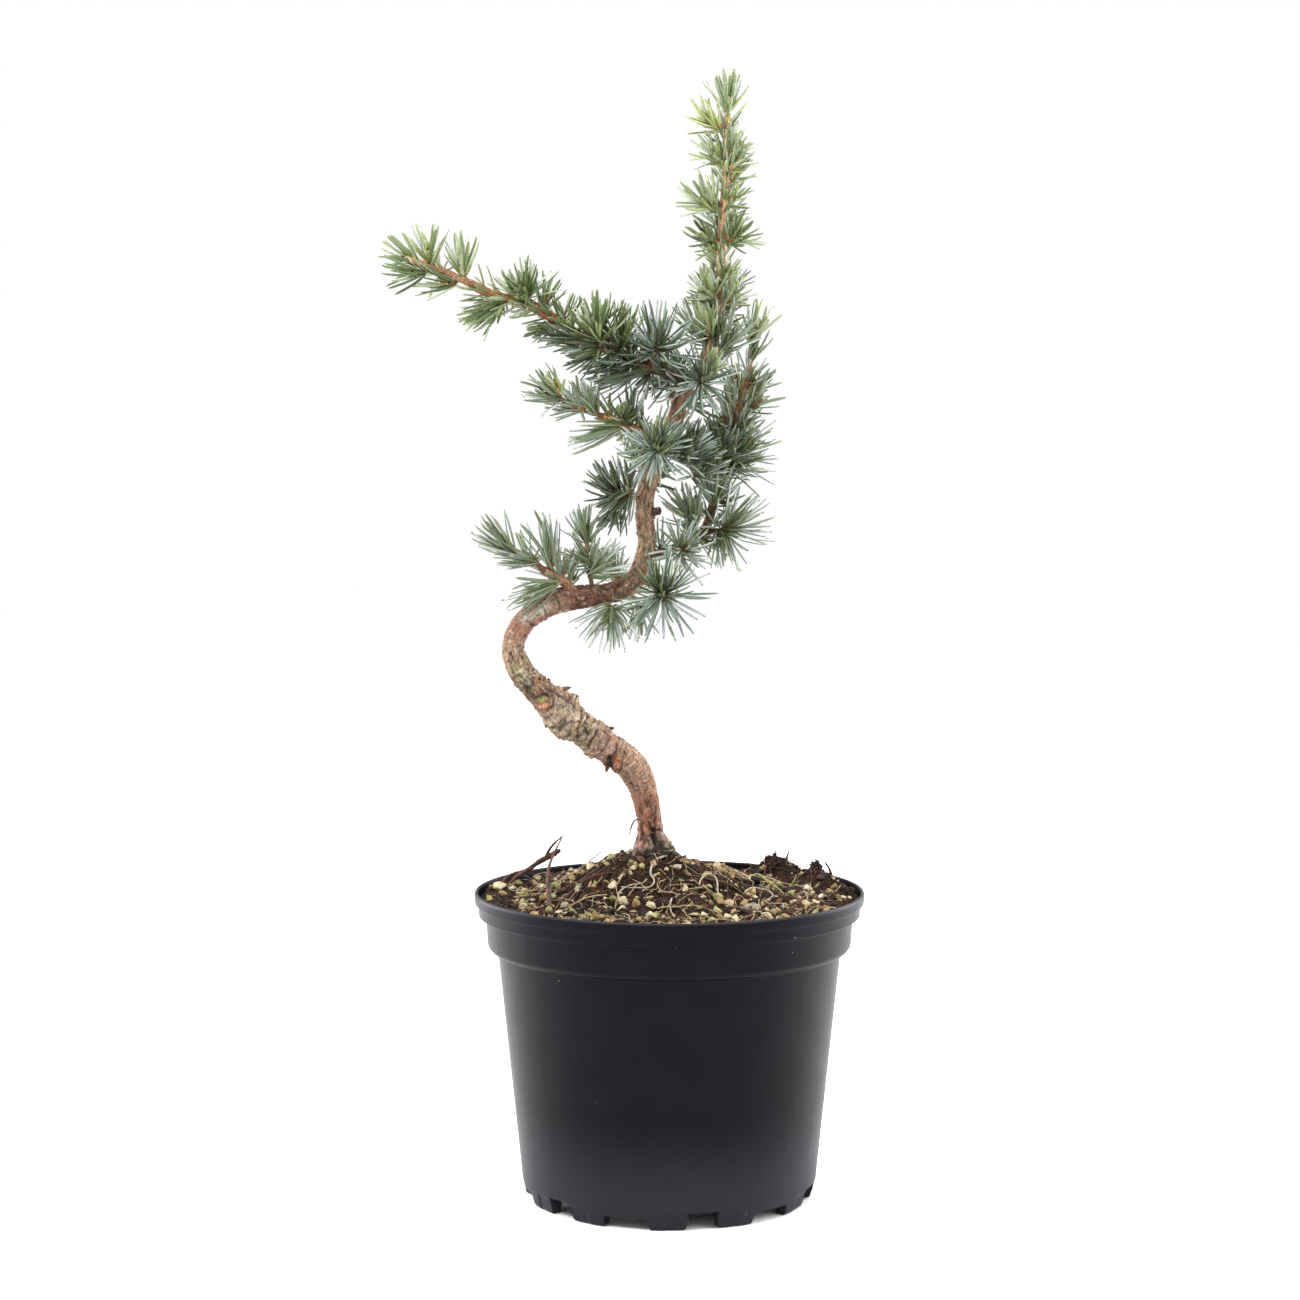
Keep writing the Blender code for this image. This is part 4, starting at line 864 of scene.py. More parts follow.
# Roots seen one by one: colour, thickness, height over the soil, and x and y of each point
ROOTS = (
    ("pale", 1.15, 0.7, -1, 0, -4, -4, -8, -11, -9, -21, -7, -27, -10, -30, -17, -30, -23, -26),
    ("pale", 1.1, 1.6, 14, -24, 16, -17, 19, -11, 22, -15, 23, -25, 23, -35),
    ("pale", 0.9, 0.8, 1, -37, 0, -43, 1, -54, 2, -62),
    ("pale", 1, 1.6, -23, -38, -25, -33, -21, -29, -14, -27),
    ("brown", 1.1, 1, -55, -38, -49, -22, -43, -15, -34, -8, -28, -3),
    ("brown", 1.2, 1, -46, -12, -36, -2, -24, 4, -14, 8),
    ("straw", 0.8, 2.5, 18, 12, 24, 6, 33, 3, 40, 12), ("lime", 1.1, 3, 40, 36, 45, 22, 50, 10, 56, 2),
    ("russet", 0.9, 1.4, -58, -12, -46, -13, -34, -12, -26, -14),
    ("brown", 1, 1.2, 10, -16, 24, -18, 38, -24, 50, -36),
    ("russet", 0.7, 2, 20, -2, 34, -6, 48, -10, 64, -14),
    ("pale", 0.9, 2.2, 36, -18, 42, -8, 48, -6, 50, -14, 46, -22),
    ("russet", 0.8, 2, 14, 46, 32, 50, 52, 50), ("straw", 0.8, 1.6, 30, 20, 50, 26, 70, 22),
    ("straw", 0.9, 1.2, -30, -30, -44, -34, -54, -44), ("brown", 1, 1.5, -70, 10, -60, 22, -44, 30),
    ("straw", 0.8, 1.4, -6, -48, 10, -46, 24, -52), ("brown", 1.1, 1.6, 56, -30, 66, -18, 80, -14),
)
# Twigs that stand up from the soil: colour, and x, y, z and diameter of each point
STANDING = (
    ("stick", -57, -42, 146, 2.4, -58, -24, 152, 2, -59, -5, 159, 1.7, -57, 12, 165, 1.2,
     -53, 20, 172.5, 0.7),
    ("stick", -84, 30, 147, 2.2, -78, 29, 153, 1.6, -72, 28, 154.5, 2.2, -64, 26, 160, 2.6,
     -57, 24, 164, 2.8, -54, 23, 166, 1.6),
    ("stick", -62, 25, 161, 1.6, -58, 23, 168, 1.3, -52.6, 21, 173.4, 0.7),
    ("stick", -80, 24, 148, 1.8, -75, 25, 153, 1.5, -71, 27, 155, 1.2),
    ("brown", -45, 40, 150, 0.9, -39, 42, 158, 0.7, -33, 43, 163, 0.4),
    ("dark", -26, 20, 158, 1.3, -22, 22, 163, 1, -16, 20, 161, 0.7),
    ("dark", -28, 24, 158, 1, -21, 26, 162, 0.8, -14, 24, 165, 0.7, -10, 20, 163, 0.5),
    ("brown", -8.9, 2.8, 177.5, 0.9, -10.4, 2, 180.6, 1, -12.6, 2.2, 183.2, 0.9,
     -14.8, 4, 184.2, 0.8, -17, 5.6, 183.2, 0.8, -18.6, 7, 179.8, 0.9, -19.5, 7, 176.2, 0.6),
    ("lime", 60, 24, 147, 1.2, 62, 22, 151, 1, 63, 21, 154, 0.5),
    ("dark", 58, 60, 149, 1.6, 60, 60, 156, 1.2, 61, 59, 160, 0.6),
    ("dark", 82, 38, 149, 1.4, 80, 37, 155, 1.1, 78, 37, 158, 0.6),
)
FIBRES_WITHIN = 86 * MM
# Fibres turn back towards the middle beyond this distance from the axis
TURN_BACK = 89.5 * MM


def lay_fibres(piece, looks, rng):
    """Roots and straws strewn over the compost."""
    for name, _, number, thin, thick, short, long in FIBRES:
        for _ in range(number):
            x, y = in_disc(rng, FIBRES_WITHIN)
            heading = rng.uniform(0, 2 * math.pi)
            length, thickness = rng.uniform(short, long) * MM, rng.uniform(thin, thick) * MM
            steps = max(4, round(length / (1.8 * MM)))
            arch = rng.uniform(0, 0.1) * length
            turning = rng.gauss(0, 0.1)
            points = []
            for k in range(steps + 1):
                if math.hypot(x, y) > TURN_BACK:
                    heading = math.atan2(-y, -x) + rng.uniform(-0.9, 0.9)
                lift = thickness * 0.4
                points.append(Vector((x, y, ground(x, y) + lift + arch * math.sin(math.pi * (k / steps)))))
                heading += turning + rng.gauss(0, 0.22)
                x += math.cos(heading) * length / steps
                y += math.sin(heading) * length / steps
            radii = [thickness / 2 * (1 - 0.6 * k / steps) for k in range(steps + 1)]
            add_strand(piece, points, radii, looks[name])


def heap_fibres(piece, looks, rng):
    """Short dark fibres that stick out of the heaps."""
    for x, y in on_heaps(rng, 30, 0.45, 87 * MM):
        point = Vector((x, y, ground(x, y) - 0.5 * MM))
        way = Vector((rng.gauss(0, 1), rng.gauss(0, 1), rng.uniform(0.3, 1.6))).normalized()
        points = []
        for _ in range(6):
            points.append(point)
            point = point + way * rng.uniform(0.6, 1.2) * MM
            way = (way + Vector((rng.gauss(0, 0.35), rng.gauss(0, 0.35), -0.12))).normalized()
        radius = rng.uniform(0.2, 0.5) * MM
        look = looks[rng.choice(("dark", "dark", "dark", "brown"))]
        add_strand(piece, points, [radius * (1 - 0.15 * k) for k in range(6)], look)


def lay_roots(piece, looks):
    """The roots seen one by one, which bridge the dips in the soil."""
    for name, thickness, lift, *places in ROOTS:
        line = Curve([(x, y, 0, thickness) for x, y in zip(places[::2], places[1::2])])
        points, radii = [], []
        for stop in at_steps(0, line.length, 1.2 * MM):
            point, _, radius = line.at(stop)
            share = stop / line.length
            reach = 3.5 * MM
            near = [ground(point.x + reach * math.cos(k), point.y + reach * math.sin(k)) for k in range(6)]
            z = sum(near) / 6 + (0.9 + lift * max(0, math.sin(math.pi * share)) ** 0.5) * MM
            points.append(Vector((point.x, point.y, z)))
            radii.append(radius * (1 - 0.45 * share))
        for _ in range(3):
            for k in range(1, len(points) - 1):
                points[k] = points[k] / 2 + (points[k - 1] + points[k + 1]) / 4
        add_strand(piece, points, radii, looks[name], 7)


def make_fibres():
    """Roots, straws and small twigs over the compost, and the twigs that stand up from it."""
    rng = random.Random(f"{SEED} fibres")
    looks = {"stick": mottled_look("dry_stick", (112, 78, 60), (62, 42, 34), 0.003, 0.85, 0.0006)}
    for name, colour, *_ in FIBRES + (("lime", (192, 192, 116)),):
        other = [0.76 * c for c in colour]
        looks[name] = mottled_look(f"fibre_{name}", colour, other, 0.0016, 0.8, 0.0004)
    fibres = Piece("roots_and_straws", "soil")
    lay_fibres(fibres, looks, rng)
    heap_fibres(fibres, looks, rng)
    lay_roots(fibres, looks)
    fibres.finish()
    wood = Piece("standing_twigs", "bark")
    for name, *controls in STANDING:
        line = Curve(np.reshape(controls, (-1, 4)))
        stations = []
        for stop in at_steps(0, line.length, 1.0 * MM):
            point, tangent, radius = line.at(stop)
            rough = 1 + 0.28 * noise.noise(point / (1.6 * MM))
            stations.append((point, tangent, radius * rough))
        add_tube(wood, stations, 8, looks[name])
    wood.finish("fallen_twig")


# Bark

# The trunk's bark along its length: distance, colour, and the share of length streaks, fine cross
# folds, wide cross folds, lichen and length ridges there
BARK = (
    (0, 98, 76, 60, 1, 0, 0, 0.3, 1.3), (8, 142, 106, 90, 1, 0, 0, 0.25, 1.1),
    (16, 158, 110, 92, 1, 0.1, 0, 0.1, 0.6), (30, 156, 110, 88, 0.9, 0.2, 0, 0, 0.3),
    (42, 156, 125, 104, 0.6, 0.65, 0.1, 0.1, 0.1), (60, 157, 126, 104, 0.5, 0.75, 0.25, 0, 0),
    (68, 154, 118, 100, 0.5, 0.6, 0.5, 0.2, 0), (78, 138, 114, 92, 0.4, 0.2, 1, 0.5, 0),
    (95, 146, 126, 104, 0.5, 0.2, 1, 0.6, 0), (106, 134, 104, 82, 0.8, 0.1, 0.5, 0.4, 0.3),
    (118, 122, 98, 74, 1, 0, 0.2, 0.8, 0.4), (131, 134, 109, 87, 0.8, 0.2, 0.3, 0.7, 0.2),
    (137, 146, 116, 96, 0.5, 0.5, 0.3, 0.1, 0), (144, 148, 110, 90, 0.4, 0.4, 0.2, 0, 0),
    (156, 150, 121, 101, 0.4, 0.4, 0.3, 0, 0), (167, 140, 110, 88, 0.7, 0.3, 0.2, 0.2, 0.2),
    (175, 122, 86, 68, 1, 0.3, 0.2, 0, 0.3), (188, 112, 78, 61, 1.2, 0.3, 0.1, 0, 0.5),
    (208, 132, 100, 76, 0.9, 0.1, 0.1, 0.2, 0.5), (228, 172, 142, 112, 0.9, 0.1, 0.2, 0.4, 0.4),
    # The rows at 290 and 315 are made lighter as painted light, against the tufts' shade on the trunk
    (250, 142, 112, 88, 0.9, 0, 0.1, 0.2, 0.5), (290, 148, 116, 93, 0.9, 0, 0.1, 0, 0.5),
    (315, 140, 104, 80, 0.6, 0.1, 0, 0, 0.6), (335, 172, 126, 92, 0.3, 0.1, 0, 0, 1),
    (360, 222, 176, 136, 0.1, 0.1, 0, 0, 1), (420, 228, 184, 142, 0.1, 0.1, 0, 0, 1),
    (448, 214, 184, 130, 0, 0, 0, 0, 1),
)
# Bark along the other limbs: share of the length and colour
LIMB_BARK = {
    "bough_left_upper": (
        (0, 104, 72, 52), (0.35, 112, 76, 52), (0.55, 168, 116, 76), (0.68, 156, 100, 64),
        (0.78, 104, 66, 46), (0.88, 168, 118, 76), (1, 160, 110, 70),
    ),
    "bough_left_middle": ((0, 120, 84, 60), (0.4, 176, 122, 80), (1, 204, 150, 102)),
    "bough_left_lower": ((0, 124, 90, 66), (1, 168, 122, 88)),
    "bough_right_lower": ((0, 100, 74, 54), (1, 104, 76, 54)),
    "bough_right_upper": ((0, 96, 70, 50), (0.5, 112, 80, 56), (0.8, 164, 120, 82), (1, 190, 144, 98)),
    "left_shoot": ((0, 140, 98, 66), (0.4, 166, 124, 86), (0.6, 146, 106, 74), (1, 186, 146, 100)),
}
# Lumps on the trunk: (x, y, z, height, reach)
TRUNK_LUMPS = (
    (-1.5, 7, 173, 3, 4.8), (-1, 7, 167.5, 3.2, 5.5), (-16, 9, 167, 2.2, 6), (-9, 20, 167, 1.8, 6),
    (-48, -8, 244, 1.8, 5), (-55, -9, 227, 1.8, 5), (-61, -19, 246, 1.6, 5), (-30, 2, 209, 4.2, 4.5),
    (-39, -2, 216, 2.4, 4.5), (-33, 0, 230, 1.4, 4), (-23, 7, 202, 1.4, 5), (-55, 0, 240, 1.6, 6),
    (-70, -20, 262, 1, 5),
)
# Patches of colour on the trunk, partly the bark's own and partly painted highlight and painted shade: (x,
# y, z, reach), colour, strength
PATCHES = (
    (-67, -18.2, 248.8, 2.4, 70, 56, 42, 0.85), (-65.2, -17.8, 246.4, 2.2, 72, 56, 42, 0.85),
    (-68.3, -18.2, 250.1, 1.6, 80, 62, 46, 0.7), (-25.7, -3.2, 214.7, 1.7, 186, 104, 66, 1),
    (-25.3, -1.8, 212.4, 1.5, 204, 122, 78, 1), (-25.1, 0.2, 209.8, 1.5, 180, 100, 64, 1),
    (-26.9, -3.8, 215.3, 1.3, 160, 66, 44, 1), (-28.8, -3, 214.1, 1.8, 58, 36, 28, 0.95),
    (-28.5, 2.6, 210.8, 2, 54, 34, 28, 0.95), (-30.8, 1.7, 212.2, 1.6, 122, 66, 48, 1),
    (-29.4, 2, 211.4, 1.7, 132, 66, 48, 1), (-24.5, 2, 207.8, 1, 226, 196, 160, 0.9),
    (-38.5, -1, 217.2, 2.4, 176, 174, 84, 1), (-30.7, 0, 212.7, 1.4, 150, 130, 66, 0.8),
    (-28.7, -5.8, 220.6, 3.2, 186, 148, 132, 0.8), (-61.1, -18.2, 245.1, 1.9, 146, 146, 78, 1),
    (-61.6, -17.2, 242.3, 1.9, 206, 146, 116, 0.9), (-57.2, -17.8, 245.1, 1.2, 196, 150, 128, 0.9),
    (-59.2, -17.8, 242.6, 1.4, 200, 140, 110, 0.9), (-53.8, -16.5, 245, 2.6, 174, 156, 132, 0.8),
    (-46.5, -15.2, 237, 3.2, 190, 168, 148, 0.85), (-52, -17, 239.5, 2.2, 180, 164, 132, 0.8),
    (-49.7, -15.8, 241.2, 2.6, 180, 160, 134, 0.7), (-72, -19.8, 258.6, 2.4, 180, 172, 136, 0.8),
    (-70.6, -19.5, 255.4, 1.9, 184, 180, 146, 0.85), (-67.4, -19.2, 252.6, 1.5, 176, 182, 170, 0.8),
    (-73.4, -19.5, 260.3, 2, 150, 142, 96, 0.6), (-63.6, -18.8, 253, 2.2, 158, 104, 78, 0.8),
    (-74.9, -19.2, 267.9, 2.4, 186, 158, 134, 0.5), (-10.2, 4.2, 192, 2.6, 98, 62, 44, 0.85),
    (-13.4, 5, 189.1, 1.8, 108, 68, 48, 0.7), (-11.5, 5, 186.6, 2.6, 196, 130, 98, 0.8),
    (-10.7, 4.8, 188.3, 0.9, 232, 196, 168, 0.9), (-2.4, 7, 171.6, 3.4, 92, 76, 60, 0.75),
    (-1.6, 8.4, 175, 2, 120, 100, 82, 0.7), (-5.2, 8.8, 191.4, 2.6, 186, 128, 92, 0.7),
    (-5.7, 7.2, 187.2, 2.2, 150, 130, 98, 0.6), (-11.5, 5.8, 180.8, 1.8, 208, 134, 88, 0.9),
    (-11.2, 5.8, 178.3, 1.6, 204, 130, 84, 0.9), (-4.3, 8, 176.9, 0.8, 226, 214, 200, 0.95),
    (-3.7, 7, 172.1, 0.6, 206, 208, 202, 0.9), (-8.9, 5.2, 173, 0.9, 210, 190, 172, 0.9),
    (-8.4, 4.5, 170.9, 0.9, 206, 186, 168, 0.8), (-10.2, 4.2, 170, 1.1, 210, 176, 158, 0.8),
    (-15.6, 9.2, 169.6, 1.6, 190, 176, 164, 0.7), (-2, 12.4, 173.6, 0.9, 196, 172, 158, 0.7),
    (-2.5, 7.2, 170.4, 0.8, 176, 160, 136, 0.6), (-3.4, 7.2, 174.4, 0.5, 200, 190, 176, 0.8),
    (-2.8, 6.8, 168.6, 0.5, 188, 184, 168, 0.7), (-12.4, 5.8, 171.5, 2.6, 188, 138, 118, 0.7),
    (-8.9, 2.8, 166.2, 2.6, 58, 42, 32, 0.8), (-5.5, 2.8, 165.7, 2.2, 66, 56, 38, 0.7),
    (-2.1, 5.8, 167.7, 2.2, 110, 104, 66, 0.7), (-14.3, 5.5, 166.3, 1.4, 76, 54, 42, 0.6),
    (-7, 6, 174.6, 1.8, 60, 44, 36, 0.8), (-4.5, 5, 169.8, 1.8, 82, 66, 48, 0.6),
    (-21.1, 3, 204.5, 2.4, 88, 66, 50, 0.55), (-17.4, 3.5, 199.3, 2.2, 98, 74, 56, 0.5),
    (-19.1, 3.5, 202, 1.6, 96, 72, 54, 0.5), (0.2, -3.2, 368.8, 0.6, 196, 124, 70, 0.7),
    (2.1, -3, 374.6, 0.6, 196, 124, 70, 0.7), (1.2, -3.1, 371.6, 0.6, 196, 124, 70, 0.7),
    (-71.5, -18, 278.4, 3.2, 150, 102, 80, 0.75), (-73, -18.5, 275.1, 2.6, 154, 116, 95, 0.6),
    (-67.8, -16, 278.2, 2.6, 136, 92, 70, 0.75), (-61.7, -12, 283.2, 2.6, 134, 86, 66, 0.85),
    (-57.4, -10, 285.5, 2.8, 126, 82, 62, 0.8), (-65, -14, 280.5, 2.6, 138, 88, 68, 0.8),
    (-58.8, -12, 289.4, 2.6, 196, 178, 158, 0.8), (-61.9, -13, 287.9, 2.6, 208, 196, 180, 0.9),
    (-65.8, -15, 286, 2.4, 202, 190, 172, 0.85), (-69, -16, 283.4, 2.2, 204, 196, 180, 0.9),
    (-52.6, -10, 292.2, 2.2, 172, 148, 116, 0.6), (-49.8, -8, 289.2, 2, 128, 100, 74, 0.6),
    (-7.6, 7.5, 334.4, 1.5, 60, 42, 32, 0.8),
)
# A scar in the shape of a ring: (x, y, z), radius and height of the ring
RING_SCAR = (-60.4, -18.2, 245.2, 3.9, 1)
# Hollows, painted darker as shade: (x, y, z), reach and depth
HOLLOWS = ((-28.8, 0.5, 212.4, 2, 1.8), (-60.8, -18.6, 246.4, 1.7, 0.8), (-7, 5.8, 174.5, 1.6, 1))
# Creases, painted dark as shade: depth and reach, and x, y and z of each point that they run through
CREASES = (
    (0.8, 0.55, -64.4, -14.8, 241.6, -62.1, -15.8, 240.3, -58.8, -17.2, 240.7, -56.2, -17.8, 242.3,
     -56.1, -17.5, 245.5, -57.4, -17.2, 248.3, -59.7, -18, 250.2),
    (0.5, 0.5, -63.8, -18.2, 246.5, -61.5, -18.8, 247.5, -59.2, -18.2, 247.9, -57.6, -17.8, 246,
     -58.1, -18, 243.7),
    (1, 0.8, -69.3, -18.2, 251.1, -66.9, -19, 250.9, -65.4, -19.2, 252.1, -65.1, -19, 253.5),
    (0.6, 0.55, -73.8, -18.8, 256.2, -72, -19.8, 257.2, -70.6, -19.5, 255.8),
    (0.6, 0.6, -71.3, -18.8, 253.5, -69.7, -18.8, 252.1, -68.8, -19.5, 254),
    (0.4, 0.45, -76.8, -18.5, 264.9, -77.3, -17, 261.6, -76.7, -16.2, 257.8, -74.8, -16.5, 254.2,
     -72.1, -16.8, 251.4, -69.4, -16.2, 248.2, -66.7, -15.2, 244.4),
    (0.4, 0.45, -74.9, -19.2, 265.6, -75.4, -18.8, 261.7, -74.4, -18.8, 257.3),
    (0.8, 0.7, -57.4, -16.8, 249.6, -53.8, -15.5, 247.2, -50.2, -14, 244.7, -47.5, -13.2, 242.3,
     -44.7, -12.8, 239.5),
    (0.7, 0.6, -53.1, -17, 241.8, -52, -16.2, 242.6, -51, -16.2, 241.2),
    (0.6, 0.6, -59.4, -14.2, 236, -58, -15, 235.6),
    (0.5, 0.6, -50.6, -16.5, 235.5, -52.9, -16, 233.8, -55.7, -13.8, 231.8, -58, -9, 230.9),
    (0.5, 0.6, -46.8, -15.5, 234.4, -49.7, -16, 233, -52.2, -14.5, 230.4, -54.6, -9, 228),
    (0.5, 0.6, -43.1, -13.5, 233.7, -44.5, -13.8, 230.8, -47.9, -12.5, 227.8, -50.7, -7.4, 225.6),
    (0.6, 0.6, -40.2, -11.5, 232.5, -41.2, -12, 229.2, -44.1, -11, 225.7, -47.1, -5, 223.1),
    (1, 1.1, -39.5, -11.2, 229.4, -39.7, -11, 227.5),
    (0.5, 0.6, -35.1, -8.5, 229.3, -36.4, -9.5, 226, -38.3, -9.2, 223.1, -41.8, -2.5, 219.5),
    (0.8, 0.6, -30.6, -5.2, 227.3, -28.8, -4.8, 225.2, -30.6, -6.5, 222.6, -32.9, -6.5, 219.3,
     -35.6, -0.4, 215.3),
    (0.6, 0.6, -25.7, -3.8, 222, -25.5, -4.2, 218.6, -26.4, -4.2, 216.7),
    (0.6, 0.7, -21.6, -2.2, 217.9, -21.3, -2.2, 216.9),
    (1.6, 1.3, -28.9, -3.5, 214.8, -28.8, 0.2, 211.7, -27.9, 3.7, 210.1),
    (0.5, 0.5, -23, -2, 213, -23.5, -0.2, 209.8, -24.5, 2.5, 207.5),
    (0.9, 0.8, -9.6, 5.5, 181.5, -9, 5.5, 178.3, -8.4, 5.8, 175.1, -7.2, 5, 172.1),
    (1.3, 1.2, -7.7, 5.8, 178.1, -7.2, 6, 176.2, -7.2, 5.5, 173.6, -6.2, 4.5, 170.6),
    (0.7, 0.6, -7.2, 6, 177.9, -5.2, 7.2, 178.3, -3.4, 9.8, 177.4),
    (0.5, 0.5, -14.6, 8.5, 172.8, -12.4, 6.8, 173.9, -10.2, 5.5, 173.3, -9.3, 4.2, 170.7),
    (0.8, 0.9, -14.8, 7.2, 169, -14, 5.2, 166.4),
    (1, 1.5, -10.4, 3.5, 167.6, -8.9, 2.8, 166.2, -7, 3.5, 168.1),
    (0.5, 0.5, -13.8, 7.2, 179.3, -13.6, 7.5, 175.8, -13.1, 7.2, 173.9),
    (0.5, 0.5, -12.1, 6, 172.6, -12.3, 5, 169.8), (0.5, 0.6, -10.4, 4.2, 169.9, -11.4, 3.8, 167.5),
    (0.7, 0.8, -5, 6, 172.6, -4.5, 5, 169.8, -4, 4, 167), (0.5, 0.6, -2.3, 10, 173, -1.6, 7.8, 169.4),
    (0.5, 0.5, -7, 6, 190.4, -6.5, 6.2, 185.9, -7, 6, 182),
    (0.5, 0.5, -5.1, 10.5, 192.6, -4.3, 11, 186.6, -3.6, 11.5, 181.7),
    (0.6, 0.6, -72, -18.2, 270.7, -69.8, -15.5, 269.6, -68.9, -13.5, 268.2),
    (0.5, 0.5, -61.7, -11.8, 290.9, -59.8, -12.5, 287.6, -59.3, -11, 284.1),
    (0.5, 0.5, -54.6, -8.8, 294.1, -53.1, -9.5, 290.8, -52.7, -7.8, 287.3),
    (0.5, 0.5, -46, -4.2, 295.7, -44.6, -5, 292.4, -44.1, -3.5, 288.9),
    (0.5, 0.5, -68.3, -16, 282.6, -65, -13.8, 280, -64.8, -10.5, 278.6),
)
# Raised lips, in the same way, painted lighter as highlight
LIPS = (
    (1.3, 1.4, -29.5, -1, 230.2, -27.6, -4, 227.5, -27.5, -6, 224.5),
    (1.2, 1.6, -53, -10, 250.5, -48, -9.5, 247.5, -44.5, -8, 243.5),
    (0.8, 1, -31.5, -5.5, 226, -32, -7, 222, -33.5, -6, 218), (1, 1.2, -53, -12, 228.6, -50, -9, 226.5),
    (1, 1, -60.5, -10, 233.5, -58.5, -10, 232), (0.8, 1.1, -38, -9, 231, -40, -10.5, 227, -43, -9, 223.5),
    (0.8, 1.1, -46, -14, 235.5, -48, -14.5, 231, -51, -12, 227.5),
    (0.7, 0.9, -24.5, -3, 216, -24, -1.6, 212.5, -24, 1, 208.5),
    (0.9, 1, -72.5, -19, 259, -70, -20, 258.5, -67, -19.5, 257),
    (0.8, 1, -11.4, 5.4, 173, -11.6, 4.6, 168), (0.7, 0.8, -9.6, 4.8, 174, -8.8, 4.2, 170),
)
# Lumps crusted with lichen, dark between pale specks: (x, y, z, reach)
CRUSTS = ((0, 4, 171, 6.5), (1, 5, 165, 7))
CRUST_DARK = np.array(tint(70, 56, 42))
CRUST_PALE = np.array(tint(198, 190, 160))
LICHEN = np.array(tint(152, 148, 104))
PALE_BARK = np.array(tint(196, 176, 156))
SCAR = np.array(tint(158, 98, 74))
# Flakes of bark: (x, y, z) of the foot and of the tip, width, colour
FLAKES = (
    (-60.6, -15, 251, -59.6, -15.6, 256.4, 2.6, 150, 92, 70),
    (-59, -14.5, 250.5, -57.4, -14.6, 254.6, 2.4, 164, 100, 76),
    (-62.4, -16.5, 251.6, -62, -17.6, 256, 2.2, 120, 76, 58),
    (-59.4, -15.6, 250, -57, -16.4, 252.4, 2, 132, 84, 64),
    (-51.5, -9, 249, -47.2, -9.5, 250.3, 2.6, 128, 100, 76),
    (-47.5, -7, 246, -43.6, -7, 245.6, 2.6, 110, 84, 64),
    (-53, -11, 230, -51.8, -12, 226.4, 2.2, 126, 96, 76),
    (-59, -11, 233.6, -59.6, -13, 230.8, 2, 116, 84, 66),
    (-30, 1, 211, -30.6, -0.4, 207.4, 2.6, 136, 74, 54),
    (-26.5, 2, 210, -26.2, 0.2, 206.9, 1.8, 196, 120, 76),
    (-29, 1, 229, -26.6, -0.6, 229.6, 2.2, 140, 108, 86),
)
SMALL_FLAKES = 150
FLAKE_COLOURS = ((146, 112, 90), (120, 88, 70), (96, 70, 54), (174, 146, 122))
# The cut stub on the trunk, and where the trunk's old bark gives way to young bark
TRUNK_STUB = ((-12, 8, 334, 4.6), (-8, 6.6, 334.2, 3.9), (-4.6, 6, 334.6, 3.5))
YOUNG_BARK_FROM = 325 * MM
RELIEF = 1.25
NECK = 0.55
NECK_REACH = 3 * MM
STUB_SIDES = 24
CAP_RINGS, CAP_SIDES = 5, 20


def trunk_swell(place):
    """Added height of the burls, lips and root lumps at a place on the bark."""
    height = 0
    for x, y, z, lump, reach in TRUNK_LUMPS:
        away = (place - Vector((x, y, z)) * MM).length / (reach * MM)
        height += lump * MM * math.exp(-(away**2))
    return height


def bark_relief(local, streaks, fine, wide, ridges, radius):
    """Height of the bark over the smooth limb, and its lightness there, which holds painted shade and
    highlight.

    local is the place on the limb unrolled round its axis, in millimetres: its third value is the
    distance along the limb.
    """
    fibre = noise.fractal(Vector((local.x / 1.6, local.y / 1.6, local.z / 7)), 0.75, 2.1, 3)
    plates = noise.noise(Vector((local.x / 2.6, local.y / 2.6, local.z / 6)) + Vector((4, 4, 4)))
    split = max(0.0, 1 - abs(plates) / 0.1) * streaks
    slow = noise.noise(local / 6)
    wobble = 2.2 * slow + 0.7 * noise.noise(local / 1.8)
    small = (abs(math.sin(local.z * 1.65 + wobble)) ** 0.7 - 0.65) * fine * (0.8 + noise.noise(local / 4))
    large = (abs(math.sin(local.z * 0.7 + wobble)) ** 0.5 - 0.75) * wide * (0.9 + 0.8 * slow)
    turn = math.atan2(local.y, local.x)
    ridge = (abs(math.sin(turn * 3.5 + local.z * 0.04 + 1.2 * slow)) - 0.6) * ridges
    grain = noise.fractal(local / 0.9, 0.8, 2.1, 2)
    size = min(1, radius / (5.5 * MM))
    height = (
        0.42 * fibre * (0.4 + 0.6 * streaks) - 0.5 * split + 0.5 * small + 1.3 * large
        + 0.8 * ridge + 0.12 * grain
    )
    # Painted light: darker in the cracks and folds as painted shade, lighter on the raised folds and
    # ridges as painted highlight
    light = (
        1.12 + 0.7 * fibre * (0.3 + 0.7 * streaks) - 0.65 * split + 1.3 * small + 1.2 * large
        + 0.4 * ridge + 0.35 * grain
    )
    if light < 0.85:
        light = max(0.3, 0.85 - 0.66 * (0.85 - light))
    return height * RELIEF * MM * (0.3 + 0.7 * size), light


def to_line(spots, line):
    """Distances from places to a line through points."""
    least = np.full(spots.shape[:-1], np.inf)
    for first, last in zip(line, line[1:]):
        along = last - first
        share = np.clip(((spots - first) @ along) / (along @ along), 0, 1)
        least = np.minimum(least, np.linalg.norm(spots - first - share[..., None] * along, axis=-1))
    return least


